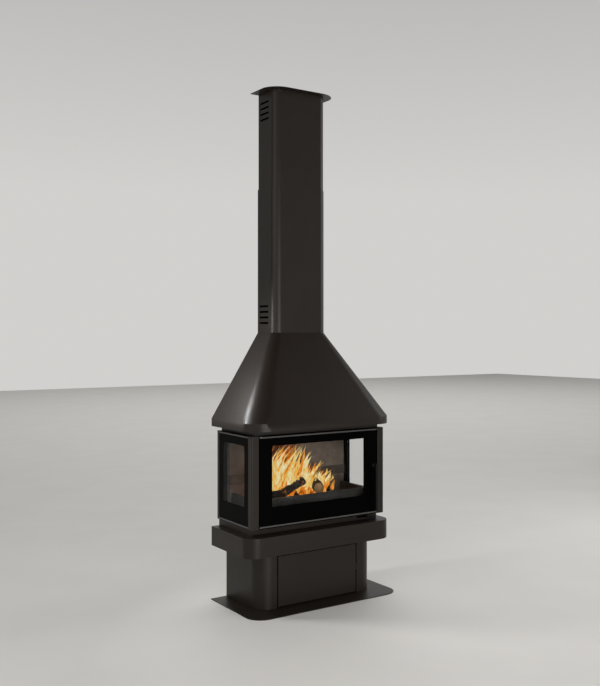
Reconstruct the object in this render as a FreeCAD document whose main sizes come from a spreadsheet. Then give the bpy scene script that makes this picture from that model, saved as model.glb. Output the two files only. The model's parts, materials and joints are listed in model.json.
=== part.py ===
"""Steel fireplace with a log store, a glazed firebox, a sloping hood and a telescopic flue casing.

Lengths are in millimetres. The frame stands on the floor plate: X runs to the right, Z runs up, and
the wall plane behind the fireplace is half the floor plate's depth behind the origin. Inside a sketch,
depths run forwards from that wall plane, so the front of a piece has a negative Y.
"""
import FreeCAD, Part
import os
import re

import Sketcher

SIZES = {
    # Plate on the floor
    "floor_plate_width": 890,
    "floor_plate_depth": 500,
    "floor_plate_gauge": 4,
    "floor_plate_corner": 90,
    # Pedestal, which is the log store
    "pedestal_width": 708,
    "pedestal_depth": 368,
    "pedestal_height": 285,
    "pedestal_corner": 80,
    "pedestal_gauge": 2,
    "pedestal_lip": 26,
    "pedestal_panel_gauge": 2,
    # Door of the log store
    "store_opening_width": 493,
    "store_header": 14,
    "store_door_gap": 5.5,
    "store_door_lift": 6,
    "store_door_depth": 18,
    "store_door_gauge": 2,
    "store_pivot_inset": 8,
    "store_pivot_setback": 7,
    "store_pin_radius": 3,
    "store_pin_reach": 12,
    "store_boss_radius": 6,
    "store_lug_gauge": 3,
    "store_lug_width": 22,
    "store_lug_lift": 1,
    "store_catch_height": 34,
    "store_catch_wall": 12,
    "store_catch_reach": 24,
    "store_catch_inset": 4,
    # Shelf band between the log store and the firebox
    "bench_width": 882,
    "bench_depth": 427,
    "bench_height": 102,
    "bench_corner": 70,
    "bench_gauge": 3,
    "bench_floor_gauge": 2,
    "beam_width": 60,
    "beam_gauge": 3,
    "beam_pitch": 260,
    "beam_setback": 20,
    # Recessed plinth under the firebox
    "plinth_width": 794,
    "plinth_depth": 341,
    "plinth_height": 37,
    "plinth_gauge": 3,
    # Air control under the firebox floor
    "air_hole_radius": 14,
    "air_hole_pitch": 100,
    "air_hole_depth": 300,
    "air_travel": 50,
    "shutter_gauge": 2,
    "shutter_width": 52,
    "shutter_margin": 40,
    "guide_gauge": 2,
    "guide_wall": 3,
    "guide_ledge": 8,
    "guide_length": 440,
    "lever_place": 326,
    "lever_width": 16,
    "lever_gauge": 3,
    "lever_drop": 19,
    "lever_reach": 32,
    "tab_width": 48,
    "tab_height": 10,
    "tab_gauge": 4,
    "slot_margin": 3,
    # Firebox body
    "firebox_width": 814,
    "firebox_depth": 396,
    "firebox_height": 474,
    "firebox_plate_gauge": 4,
    "post_leg": 40,
    "post_gauge": 3,
    "post_bend": 5,
    "rear_post_leg": 30,
    "rear_post_side": 22,
    "side_frame_gauge": 4,
    "front_frame_gauge": 5,
    "back_wall_gauge": 4,
    "shield_gauge": 2,
    "shield_margin": 12,
    "shield_slot_width": 12,
    "shield_slot_height": 60,
    "shield_slot_pitch": 70,
    "shield_slot_margin": 30,
    # Glazing
    "glass_gauge": 4,
    "tape_gauge": 2,
    "tape_width": 16,
    "retainer_gauge": 2,
    "retainer_height": 7,
    "window_width": 596,
    "window_base": 99,
    "window_height": 329,
    "side_window_back": 50,
    "side_window_front": 321,
    "opening_margin": 2,
    # Fire door
    "door_side_gap": 5.5,
    "door_gap": 2,
    "door_frame_depth": 22,
    "door_seal_depth": 6,
    "door_seal_width": 12,
    "door_seal_margin": 6,
    "door_pivot_inset": 11,
    "door_pivot_setback": 12,
    "door_pin_radius": 3,
    "door_pin_reach": 18,
    "door_boss_radius": 7,
    # Handle and latch of the fire door
    "handle_width": 14,
    "handle_gauge": 13,
    "handle_length": 258,
    "handle_inset": 21,
    "handle_base": 17,
    "handle_standoff": 22,
    "handle_softness": 3,
    "spindle_radius": 6,
    "spindle_drop": 14,
    "rose_radius": 12,
    "rose_gauge": 3,
    "cam_gauge": 4,
    "cam_width": 14,
    "cam_reach": 26,
    "keeper_width": 14,
    "keeper_height": 40,
    "keeper_gauge": 4.5,
    # Hearth inside the firebox
    "hearth_height": 77,
    "hearth_gauge": 10,
    "hearth_gap": 2,
    "support_gauge": 3,
    "support_inner": 139,
    "support_outer": 370,
    "support_setback": 60,
    "grate_width": 300,
    "grate_depth": 176,
    "grate_centre": 190,
    "grate_slot_width": 12,
    "grate_slot_pitch": 22,
    "grate_rim": 16,
    "pan_gauge": 1.5,
    "pan_height": 44,
    "pan_back": 60,
    "pan_front": 272,
    "fence_width": 704,
    "fence_front": 336,
    "fence_corner": 62,
    "fence_wall": 15,
    "fence_height": 62,
    "fence_softness": 5,
    # Lining of the back wall
    "lining_width": 724,
    "lining_gauge": 36,
    "lining_height": 106,
    "air_bar_height": 52,
    "air_bar_gauge": 44,
    "air_bar_wall": 3,
    "air_jet_radius": 4,
    "air_jet_pitch": 52,
    # Smoke baffle
    "baffle_width": 740,
    "baffle_depth": 290,
    "baffle_gauge": 20,
    "baffle_drop": 44,
    "rail_gauge": 3,
    "rail_ledge": 18,
    # Flue
    "flue_bore": 75,
    "flue_wall": 1.6,
    "flue_depth": 95,
    "collar_radius": 86,
    "collar_gauge": 6,
    "collar_height": 64,
    "collar_wall": 4,
    "flue_joint_height": 1000,
    "flue_lap": 50,
    # Neck and hood
    "neck_height": 25,
    "neck_inset": 24,
    "neck_gauge": 3,
    "hood_width": 882,
    "hood_depth": 462,
    "hood_corner": 116,
    "hood_rim_height": 41,
    "hood_slope_height": 459,
    "hood_gauge": 2,
    "hood_lip": 28,
    "hood_ledge_lap": 12,
    # Flue casing and ceiling plate
    "casing_width": 328,
    "casing_depth": 190,
    "casing_corner": 42,
    "casing_gauge": 2,
    "casing_lip": 118,
    "lower_casing_height": 791,
    "upper_casing_rise": 523,
    "upper_casing_lap": 300,
    "casing_gap": 1,
    "band_gauge": 2,
    "band_drop": 25,
    "band_rise": 34,
    "vent_length": 98,
    "vent_height": 11,
    "vent_round": 5,
    "vent_centre": 71,
    "vent_pitch": 30.5,
    "lower_vent_rise": 53,
    "upper_vent_drop": 54,
    "bracket_height": 30,
    "bracket_gauge": 3,
    "bracket_rise": 168,
    "bracket_inset": 5,
    "bracket_hole_radius": 4,
    "bracket_hole_pitch": 60,
    "ceiling_plate_width": 420,
    "ceiling_plate_depth": 240,
    "ceiling_plate_corner": 104,
    "ceiling_plate_gauge": 3,
    "ceiling_hole_radius": 3,
    "ceiling_hole_edge": 22,
    "ceiling_hole_back": 30,
    "ceiling_hole_pitch": 90,
    "ceiling_flue_gap": 4,
    # Shared clearances
    "fit_gap": 0.3,
    "turn_gap": 0.08,
    "cut_overrun": 5,
}

VENT_COUNT = 4
AIR_HOLE_COUNT = 5
AIR_JET_COUNT = 13
GRATE_SLOT_COUNT = 12
SHIELD_SLOT_COUNT = 10
BEAM_COUNT = 3

# Two places closer than this count as one
SAME_PLACE = 1e-6
FULL_TURN = 360
MIDDLE = 0.5

# Heights of the stages, from the floor up
FLOOR_TOP = "floor_plate_gauge"
BENCH_BASE = FLOOR_TOP + " + pedestal_height"
PLINTH_BASE = BENCH_BASE + " + bench_height"
FIREBOX_BASE = PLINTH_BASE + " + plinth_height"
FIREBOX_FLOOR = FIREBOX_BASE + " + firebox_plate_gauge"
FIREBOX_ROOF = FIREBOX_BASE + " + firebox_height"
FIREBOX_CEILING = FIREBOX_ROOF + " - firebox_plate_gauge"
HOOD_BASE = FIREBOX_ROOF + " + neck_height"
CASING_BASE = HOOD_BASE + " + hood_rim_height + hood_slope_height"
CASING_STEP = CASING_BASE + " + lower_casing_height"
CEILING = CASING_STEP + " + upper_casing_rise"

# Fire door and the glazing stacks, from the outside in
DOOR_HALF = "firebox_width/2 - post_leg - door_side_gap"
DOOR_BASE = FIREBOX_FLOOR + " + door_gap"
DOOR_TOP = FIREBOX_CEILING + " - door_gap"
WINDOW_BASE = FIREBOX_BASE + " + window_base"
WINDOW_TOP = WINDOW_BASE + " + window_height"
GLASS_FRONT = "firebox_depth - retainer_gauge"
FRAME_FRONT = GLASS_FRONT + " - glass_gauge - tape_gauge"
DOOR_BACK = FRAME_FRONT + " - door_frame_depth"
FRONT_FACE = DOOR_BACK + " - door_seal_depth"
CHAMBER_FRONT = FRONT_FACE + " - front_frame_gauge"
SIDE_GLASS = "firebox_width/2 - retainer_gauge"
SIDE_FRAME = SIDE_GLASS + " - glass_gauge - tape_gauge"
CHAMBER_HALF = SIDE_FRAME + " - side_frame_gauge"
CHAMBER_BACK = "rear_post_side + back_wall_gauge"
HANDLE_PLACE = DOOR_HALF + " - handle_inset"
SPINDLE_HEIGHT = DOOR_BASE + " + handle_base + handle_length - spindle_drop"
HEARTH_TOP = FIREBOX_BASE + " + hearth_height"
HEARTH_UNDER = HEARTH_TOP + " - hearth_gauge"

DOC = FreeCAD.newDocument("SteelFireplace")
SHEET = DOC.addObject("Spreadsheet::Sheet", "Sizes")
NODES = []


def fill_sheet():
    """Writes every driving dimension to the sheet, one row each, with its name as alias."""
    for row, (name, value) in enumerate(SIZES.items(), start=1):
        SHEET.set(f"A{row}", name)
        SHEET.set(f"B{row}", str(value))
        SHEET.setAlias(f"B{row}", name)
    DOC.recompute()


def bound(text):
    """Turns a sum of size names into an expression on the sheet."""
    return re.sub(r"[a-z][a-z_]*", lambda word: f"Sizes.{word[0]}" if word[0] in SIZES else word[0], text)


def number(text):
    """Works out a sum of size names."""
    return float(SHEET.evalExpression(bound(text)))


def rectangle(left, right, low, high, *radius):
    """Returns the corners of a rectangle, all rounded alike where a radius is given."""
    return [(left, low, *radius), (right, low, *radius), (right, high, *radius), (left, high, *radius)]


def front_rounded(half, front, corner, back="0"):
    """Returns a plan outline that is square at the wall and has rounded front corners."""
    left, ahead = f"-({half})", f"-({front})"
    return [(left, back), (half, back), (half, ahead, corner), (left, ahead, corner)]


def folded_sheet(half, front, corner, gauge, lip, back="0"):
    """Returns the plan of a sheet folded round the front and sides, with lips that turn in at the wall."""
    left, right, ahead = f"-({half})", half, f"-({front})"
    inner, turn = f"({half}) - {gauge}", f"({corner}) - {gauge}"
    inset, inside = f"({half}) - {lip}", f"{back} - {gauge}"
    return [
        (f"-({inset})", back), (left, back), (left, ahead, corner), (right, ahead, corner),
        (right, back), (inset, back), (inset, inside), (inner, inside),
        (inner, f"{ahead} + {gauge}", turn), (f"-({inner})", f"{ahead} + {gauge}", turn),
        (f"-({inner})", inside), (f"-({inset})", inside),
    ]


def bent_strip(half, front, corner, gauge, back):
    """Returns the plan of a strip bent round the front and sides, with plain ends at the back."""
    inner, ahead = f"({half}) - {gauge}", f"-({front}) + {gauge}"
    return [
        (f"-({half})", back), (f"-({half})", f"-({front})", corner),
        (half, f"-({front})", corner), (half, back),
        (inner, back), (inner, ahead, f"{corner} - {gauge}"),
        (f"-({inner})", ahead, f"{corner} - {gauge}"), (f"-({inner})", back),
    ]


def towards(corner, neighbour, radius):
    """Returns the point one radius from a corner along the level or upright edge to its neighbour."""
    moved = []
    for here, there in zip(corner[:2], neighbour[:2]):
        gap = number(there) - number(here)
        sign = "+" if gap > 0 else "-"
        moved.append(here if abs(gap) < SAME_PLACE else f"({here}) {sign} ({radius})")
    return tuple(moved)


def vector(place):
    """Returns the sketch point at a pair of sums."""
    return FreeCAD.Vector(number(place[0]), number(place[1]), 0)


def tie(sketch, kind, geometry, end, text):
    """Ties one coordinate of a sketch point, or a radius, to a sum on the sheet."""
    value = number(text)
    if kind == "Radius":
        made = sketch.addConstraint(Sketcher.Constraint(kind, geometry, value))
    elif text == "0":
        axis = -2 if kind == "DistanceX" else -1
        sketch.addConstraint(Sketcher.Constraint("PointOnObject", geometry, end, axis))
        return
    else:
        made = sketch.addConstraint(Sketcher.Constraint(kind, -1, 1, geometry, end, value))
    name = f"{kind}{made}"
    sketch.renameConstraint(made, name)
    sketch.setExpression(f"Constraints.{name}", bound(text))


def add_loop(sketch, corners):
    """Adds a closed loop of straight edges. A corner with a third entry is rounded by that radius."""
    stops = []
    for index, corner in enumerate(corners):
        if len(corner) == 2:
            stops.append((corner, None, None))
            continue
        after = corners[(index + 1) % len(corners)]
        stops.append((towards(corner, corners[index - 1], corner[2]), corner, corner[2]))
        stops.append((towards(corner, after, corner[2]), None, None))
    made = []
    for index, (place, corner, radius) in enumerate(stops):
        start, stop = vector(place), vector(stops[(index + 1) % len(stops)][0])
        if corner is None:
            made.append((sketch.addGeometry(Part.LineSegment(start, stop), False), 1, 2))
            continue
        centre = start + stop - vector(corner)
        circle = Part.Circle(centre, FreeCAD.Vector(0, 0, 1), number(radius))
        anticlockwise = (start - centre).cross(stop - centre).z > 0
        ends = (start, stop) if anticlockwise else (stop, start)
        arc = Part.ArcOfCircle(circle, *[circle.parameter(point) for point in ends])
        first = 1 if anticlockwise else 2
        made.append((sketch.addGeometry(arc, False), first, 3 - first))
        tie(sketch, "Radius", made[-1][0], None, radius)
    for index, (geometry, first, _) in enumerate(made):
        before, _, last = made[index - 1]
        sketch.addConstraint(Sketcher.Constraint("Coincident", before, last, geometry, first))
        tie(sketch, "DistanceX", geometry, first, stops[index][0][0])
        tie(sketch, "DistanceY", geometry, first, stops[index][0][1])


def add_circle(sketch, across, along, radius):
    """Adds a full circle with its centre and radius tied to the sheet."""
    circle = Part.Circle(vector((across, along)), FreeCAD.Vector(0, 0, 1), number(radius))
    geometry = sketch.addGeometry(circle, False)
    tie(sketch, "DistanceX", geometry, 3, across)
    tie(sketch, "DistanceY", geometry, 3, along)
    tie(sketch, "Radius", geometry, None, radius)


def new_body(label, across="0", ahead="0"):
    """Starts a sub-part whose sketches are measured from the wall plane, or from a pivot in front of it."""
    body = DOC.addObject("PartDesign::Body", label)
    body.Label = label
    body.setExpression("Placement.Base.x", bound(across))
    body.setExpression("Placement.Base.y", bound(f"floor_plate_depth/2 - ({ahead})"))
    NODES.append(body)
    return body


def add_sketch(body, plane, offset, loops, circles=()):
    """Draws loops and circles on one of the body's own planes, moved along its normal by an offset."""
    sketch = body.newObject("Sketcher::SketchObject", f"{body.Label}_sketch")
    support = next(item for item in body.Origin.OriginFeatures if item.Role == f"{plane}_Plane")
    sketch.AttachmentSupport = [(support, "")]
    sketch.MapMode = "FlatFace"
    sketch.setExpression("AttachmentOffset.Base.z", bound(offset))
    for loop in loops:
        add_loop(sketch, loop)
    for circle in circles:
        add_circle(sketch, *circle)
    return sketch


def add_pad(body, plane, offset, length, loops, circles=()):
    """Raises a sketch along its plane's normal: up on XY, forwards on XZ and to the right on YZ."""
    pad = body.newObject("PartDesign::Pad", f"{body.Label}_pad")
    pad.Profile = add_sketch(body, plane, offset, loops, circles)
    pad.setExpression("Length", bound(length))
    return pad


def add_pocket(body, plane, offset, length, loops, circles=()):
    """Cuts a sketch against its plane's normal: down on XY, back on XZ and to the left on YZ."""
    pocket = body.newObject("PartDesign::Pocket", f"{body.Label}_pocket")
    pocket.Profile = add_sketch(body, plane, offset, loops, circles)
    pocket.setExpression("Length", bound(length))
    return pocket


def prism(label, plane, offset, length, loops, circles=()):
    """Makes a sub-part from one raised sketch."""
    body = new_body(label)
    add_pad(body, plane, offset, length, loops, circles)
    return body


def turned(label, across, ahead, *profiles):
    """Makes a sub-part by turning profiles of radius and height about an upright axis."""
    body = new_body(label, across, ahead)
    turn = body.newObject("PartDesign::Revolution", f"{label}_turn")
    sketch = add_sketch(body, "XZ", "0", profiles)
    turn.Profile = sketch
    turn.ReferenceAxis = (sketch, ["V_Axis"])
    turn.Angle = FULL_TURN
    return body


def soften(body, radius, facing):
    """Rounds all edges of the outermost flat face that looks along a direction."""
    DOC.recompute()
    base = body.Tip
    flat = [index for index, face in enumerate(base.Shape.Faces)
            if face.normalAt(0, 0).getAngle(facing) < SAME_PLACE]
    outermost = max(flat, key=lambda index: base.Shape.Faces[index].CenterOfMass.dot(facing))
    fillet = body.newObject("PartDesign::Fillet", f"{body.Label}_soften")
    fillet.Base = (base, [f"Face{outermost + 1}"])
    fillet.setExpression("Radius", bound(radius))


def row_places(count, pitch, centre="0"):
    """Returns evenly spaced places in a row about a centre."""
    return [f"{centre} + ({index - (count - 1)*MIDDLE})*{pitch}" for index in range(count)]


def make_floor_plate():
    """Makes the plate that protects the floor."""
    outline = front_rounded("floor_plate_width/2", "floor_plate_depth", "floor_plate_corner")
    prism("floor_plate", "XY", "0", "floor_plate_gauge", [outline])


def make_pedestal():
    """Makes the folded casing of the log store, its back panel and the fittings of its door."""
    casing = new_body("pedestal_casing")
    plan = folded_sheet("pedestal_width/2", "pedestal_depth", "pedestal_corner", "pedestal_gauge",
                        "pedestal_lip")
    add_pad(casing, "XY", FLOOR_TOP, "pedestal_height", [plan])
    mouth = rectangle("-(store_opening_width)/2", "store_opening_width/2", f"{FLOOR_TOP} - cut_overrun",
                      f"{BENCH_BASE} - store_header")
    add_pocket(casing, "XZ", "pedestal_depth + cut_overrun", "2*cut_overrun + pedestal_gauge", [mouth])

    half = "pedestal_width/2 - pedestal_gauge - fit_gap"
    prism("pedestal_back_panel", "XZ", "pedestal_gauge", "pedestal_panel_gauge",
          [rectangle(f"-({half})", half, FLOOR_TOP, BENCH_BASE)])


STORE_DOOR_HALF = "store_opening_width/2 - store_door_gap"
STORE_DOOR_BASE = FLOOR_TOP + " + store_door_lift"
STORE_DOOR_TOP = BENCH_BASE + " - store_header - store_door_gap"
STORE_PIVOT_X = f"-({STORE_DOOR_HALF} - store_pivot_inset)"
STORE_PIVOT_DEPTH = "pedestal_depth - store_pivot_setback"


def make_store_door():
    """Makes the folded door of the log store, its two pivots and its magnetic catch."""
    door = new_body("store_door")
    back = "pedestal_depth - store_door_depth"
    outline = rectangle(f"-({STORE_DOOR_HALF})", STORE_DOOR_HALF, STORE_DOOR_BASE, STORE_DOOR_TOP)
    add_pad(door, "XZ", back, "store_door_depth", [outline])
    inner = f"{STORE_DOOR_HALF} - store_door_gauge"
    hollow = rectangle(f"-({inner})", inner, f"{STORE_DOOR_BASE} + store_door_gauge",
                       f"{STORE_DOOR_TOP} - store_door_gauge")
    add_pocket(door, "XZ", "pedestal_depth - store_door_gauge", "store_door_depth", [hollow])
    add_pocket(door, "XY", f"{STORE_DOOR_TOP} + cut_overrun", "pedestal_height", [],
               [(STORE_PIVOT_X, f"-({STORE_PIVOT_DEPTH})", "store_pin_radius + turn_gap")])

    shoulder = f"{STORE_DOOR_BASE} - fit_gap"
    turned("store_lower_pivot", STORE_PIVOT_X, STORE_PIVOT_DEPTH, [
        ("0", FLOOR_TOP), ("store_boss_radius", FLOOR_TOP), ("store_boss_radius", shoulder),
        ("store_pin_radius", shoulder), ("store_pin_radius", f"{shoulder} + store_pin_reach"),
        ("0", f"{shoulder} + store_pin_reach")])

    lug = new_body("store_upper_pivot")
    lug_base = f"{BENCH_BASE} - store_header + store_lug_lift"
    wall = "-(pedestal_depth - pedestal_gauge)"
    add_pad(lug, "XY", lug_base, "store_lug_gauge", [rectangle(
        f"{STORE_PIVOT_X} - store_lug_width/2", f"{STORE_PIVOT_X} + store_lug_width/2",
        wall, f"{wall} + store_lug_width")])
    add_pad(lug, "XY", f"{lug_base} - store_pin_reach", "store_pin_reach + store_lug_gauge/2", [],
            [(STORE_PIVOT_X, f"-({STORE_PIVOT_DEPTH})", "store_pin_radius")])

    seat = f"-({back}) + fit_gap"
    near = "store_opening_width/2 + store_catch_inset"
    far = f"{near} + store_catch_reach"
    inside = f"{STORE_DOOR_HALF} - store_catch_reach"
    catch_base = f"({STORE_DOOR_BASE} + {STORE_DOOR_TOP} - store_catch_height)/2"
    prism("store_door_catch", "XY", catch_base, "store_catch_height", [[
        (near, wall), (far, wall), (far, f"{seat} + store_catch_wall"),
        (inside, f"{seat} + store_catch_wall"), (inside, seat), (near, seat)]])


def make_bench():
    """Makes the shelf band: an upturned tray, its closing plate and the beams that carry the firebox."""
    tray = new_body("shelf_band")
    outline = front_rounded("bench_width/2", "bench_depth", "bench_corner")
    add_pad(tray, "XY", BENCH_BASE, "bench_height", [outline])
    hollow = front_rounded("bench_width/2 - bench_gauge", "bench_depth - bench_gauge",
                           "bench_corner - bench_gauge", "-bench_gauge")
    add_pocket(tray, "XY", f"{PLINTH_BASE} - bench_gauge", "bench_height", [hollow])

    floor = front_rounded("bench_width/2 - bench_gauge - fit_gap", "bench_depth - bench_gauge - fit_gap",
                          "bench_corner - bench_gauge - fit_gap", "-(bench_gauge + fit_gap)")
    prism("shelf_closing_plate", "XY", BENCH_BASE, "bench_floor_gauge", [floor])

    low, high = f"{BENCH_BASE} + bench_floor_gauge", f"{PLINTH_BASE} - bench_gauge"
    beams = []
    for place in row_places(BEAM_COUNT, "beam_pitch"):
        left, right = f"{place} - beam_width/2", f"{place} + beam_width/2"
        beams.append([
            (left, low), (f"{left} + beam_gauge", low), (f"{left} + beam_gauge", f"{high} - beam_gauge"),
            (f"{right} - beam_gauge", f"{high} - beam_gauge"), (f"{right} - beam_gauge", low), (right, low),
            (right, high), (left, high)])
    prism("shelf_beams", "XZ", "beam_setback", "bench_depth - 2*beam_setback", beams)


LEVER_BASE = FIREBOX_BASE + " - shutter_gauge - fit_gap - lever_drop"
SHUTTER_BASE = FIREBOX_BASE + " - shutter_gauge - fit_gap"


def make_plinth():
    """Makes the recessed frame that carries the firebox, with the slot for the air lever."""
    frame = new_body("plinth_frame")
    half, inner = "plinth_width/2", "plinth_width/2 - plinth_gauge"
    add_pad(frame, "XY", PLINTH_BASE, "plinth_height", [
        rectangle(f"-{half}", half, "-(plinth_depth)", "0"),
        rectangle(f"-({inner})", inner, "-(plinth_depth - plinth_gauge)", "-plinth_gauge")])
    reach = "(lever_width/2 + slot_margin)"
    slot = rectangle(f"lever_place - air_travel - {reach}", f"lever_place + {reach}",
                     f"{LEVER_BASE} - slot_margin", f"{LEVER_BASE} + lever_gauge + slot_margin")
    add_pocket(frame, "XZ", "plinth_depth + cut_overrun", "plinth_gauge + 2*cut_overrun", [slot])


def air_holes():
    """Returns the row of air holes that the shutter shares with the firebox floor."""
    return [(place, "-(air_hole_depth)", "air_hole_radius")
            for place in row_places(AIR_HOLE_COUNT, "air_hole_pitch")]


def make_air_control():
    """Makes the sliding air shutter, its guides under the firebox floor and its lever."""
    front, back = "-(air_hole_depth + shutter_width/2)", "-(air_hole_depth - shutter_width/2)"
    left = f"-(({AIR_HOLE_COUNT} - 1)*air_hole_pitch/2 + shutter_margin)"
    prism("air_shutter", "XY", SHUTTER_BASE, "shutter_gauge",
          [rectangle(left, "lever_place + lever_width", front, back)], air_holes())

    ledge = f"{SHUTTER_BASE} - fit_gap"
    rails = []
    for edge, out in ((front, "-"), (back, "+")):
        near = f"{edge} {out} fit_gap"
        far = f"{near} {out} guide_wall"
        inward = f"{edge} {'+' if out == '-' else '-'} guide_ledge"
        rails.append([
            (far, FIREBOX_BASE), (near, FIREBOX_BASE), (near, ledge), (inward, ledge),
            (inward, f"{ledge} - guide_gauge"), (far, f"{ledge} - guide_gauge")])
    prism("air_shutter_guides", "YZ", "-guide_length/2", "guide_length", rails)

    lever = new_body("air_lever")
    hook = "-(air_hole_depth)"
    nose = "-(plinth_depth + lever_reach)"
    add_pad(lever, "YZ", "lever_place - lever_width/2", "lever_width", [[
        (nose, LEVER_BASE), (hook, LEVER_BASE), (hook, SHUTTER_BASE),
        (f"{hook} - lever_gauge", SHUTTER_BASE), (f"{hook} - lever_gauge", f"{LEVER_BASE} + lever_gauge"),
        (nose, f"{LEVER_BASE} + lever_gauge")]])
    middle = f"{LEVER_BASE} + lever_gauge/2"
    add_pad(lever, "XZ", "plinth_depth + lever_reach", "tab_gauge", [rectangle(
        "lever_place - tab_width/2", "lever_place + tab_width/2",
        f"{middle} - tab_height/2", f"{middle} + tab_height/2", "handle_softness")])


def make_firebox_shell():
    """Makes the plates, posts, frames, back wall and heat shield of the firebox."""
    half, front = "firebox_width/2 - post_gauge", "firebox_depth - post_gauge"
    plate = front_rounded(half, front, "post_bend", "-post_gauge")
    prism("firebox_floor", "XY", FIREBOX_BASE, "firebox_plate_gauge", [plate], air_holes())
    prism("firebox_top", "XY", FIREBOX_CEILING, "firebox_plate_gauge", [plate],
          [("0", "-flue_depth", "flue_bore - collar_wall")])

    for side, sign in (("left", "-"), ("right", "")):
        outer = f"{sign}(firebox_width/2)"
        inner = f"{sign}(firebox_width/2 - post_gauge)"
        end = f"{sign}(firebox_width/2 - post_leg)"
        ahead = "-(firebox_depth)"
        prism(f"corner_post_{side}", "XY", FIREBOX_BASE, "firebox_height", [[
            (outer, f"{ahead} + post_leg"), (outer, ahead, "post_bend"), (end, ahead),
            (end, f"{ahead} + post_gauge"), (inner, f"{ahead} + post_gauge", "post_bend - post_gauge"),
            (inner, f"{ahead} + post_leg")]])
        rear_end = f"{sign}(firebox_width/2 - rear_post_leg)"
        prism(f"rear_post_{side}", "XY", FIREBOX_BASE, "firebox_height", [[
            (outer, "0"), (rear_end, "0"), (rear_end, "-post_gauge"), (inner, "-post_gauge"),
            (inner, "-rear_post_side"), (outer, "-rear_post_side")]])

    wide = f"-({CHAMBER_HALF})", CHAMBER_HALF
    mouth = rectangle("-(window_width/2 + opening_margin)", "window_width/2 + opening_margin",
                      f"{WINDOW_BASE} - opening_margin", f"{WINDOW_TOP} + opening_margin")
    prism("firebox_front_frame", "XZ", CHAMBER_FRONT, "front_frame_gauge",
          [rectangle(*wide, FIREBOX_FLOOR, FIREBOX_CEILING), mouth])
    prism("firebox_back_wall", "XZ", "rear_post_side", "back_wall_gauge",
          [rectangle(*wide, FIREBOX_FLOOR, FIREBOX_CEILING)])

    shield = "firebox_width/2 - post_gauge - fit_gap"
    low, high = f"{FIREBOX_FLOOR} + shield_margin", f"{FIREBOX_CEILING} - shield_margin"
    loops = [rectangle(f"-({shield})", shield, low, high)]
    for place in row_places(SHIELD_SLOT_COUNT, "shield_slot_pitch"):
        sides = f"{place} - shield_slot_width/2", f"{place} + shield_slot_width/2"
        for start in (f"{low} + shield_slot_margin", f"{high} - shield_slot_margin - shield_slot_height"):
            loops.append(rectangle(*sides, start, f"{start} + shield_slot_height"))
    prism("rear_heat_shield", "XZ", "post_gauge", "shield_gauge", loops)


def make_side_glazing():
    """Makes the frame, glass, sealing tape and retaining strips of both side windows."""
    window = rectangle("-(side_window_front)", "-(side_window_back)", WINDOW_BASE, WINDOW_TOP)
    ends = f"-({FRONT_FACE})", "-rear_post_side"
    pane = "-(firebox_depth - post_leg - fit_gap)", "-(rear_post_side + fit_gap)"
    tape = rectangle("-(side_window_front + tape_width)", "-(side_window_back - tape_width)",
                     f"{WINDOW_BASE} - tape_width", f"{WINDOW_TOP} + tape_width")
    full = FIREBOX_FLOOR, FIREBOX_CEILING
    strips = [rectangle(*pane, FIREBOX_FLOOR, f"{FIREBOX_FLOOR} + retainer_height"),
              rectangle(*pane, f"{FIREBOX_CEILING} - retainer_height", FIREBOX_CEILING)]
    sheets = (
        ("side_frame", CHAMBER_HALF, "side_frame_gauge", [rectangle(*ends, *full), window]),
        ("side_glass", f"{SIDE_GLASS} - glass_gauge", "glass_gauge", [rectangle(*pane, *full)]),
    )
    for name, inner, gauge, loops in sheets:
        prism(f"{name}_left", "YZ", f"-({inner} + {gauge})", gauge, loops)
        prism(f"{name}_right", "YZ", inner, gauge, loops)
    pairs = (
        ("side_glass_tapes", f"{SIDE_GLASS} - glass_gauge - tape_gauge", "tape_gauge", [tape, window]),
        ("side_glass_strips", SIDE_GLASS, "retainer_gauge", strips),
    )
    for name, inner, gauge, loops in pairs:
        pair = prism(name, "YZ", f"-({inner} + {gauge})", gauge, loops)
        add_pad(pair, "YZ", inner, gauge, loops)


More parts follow.
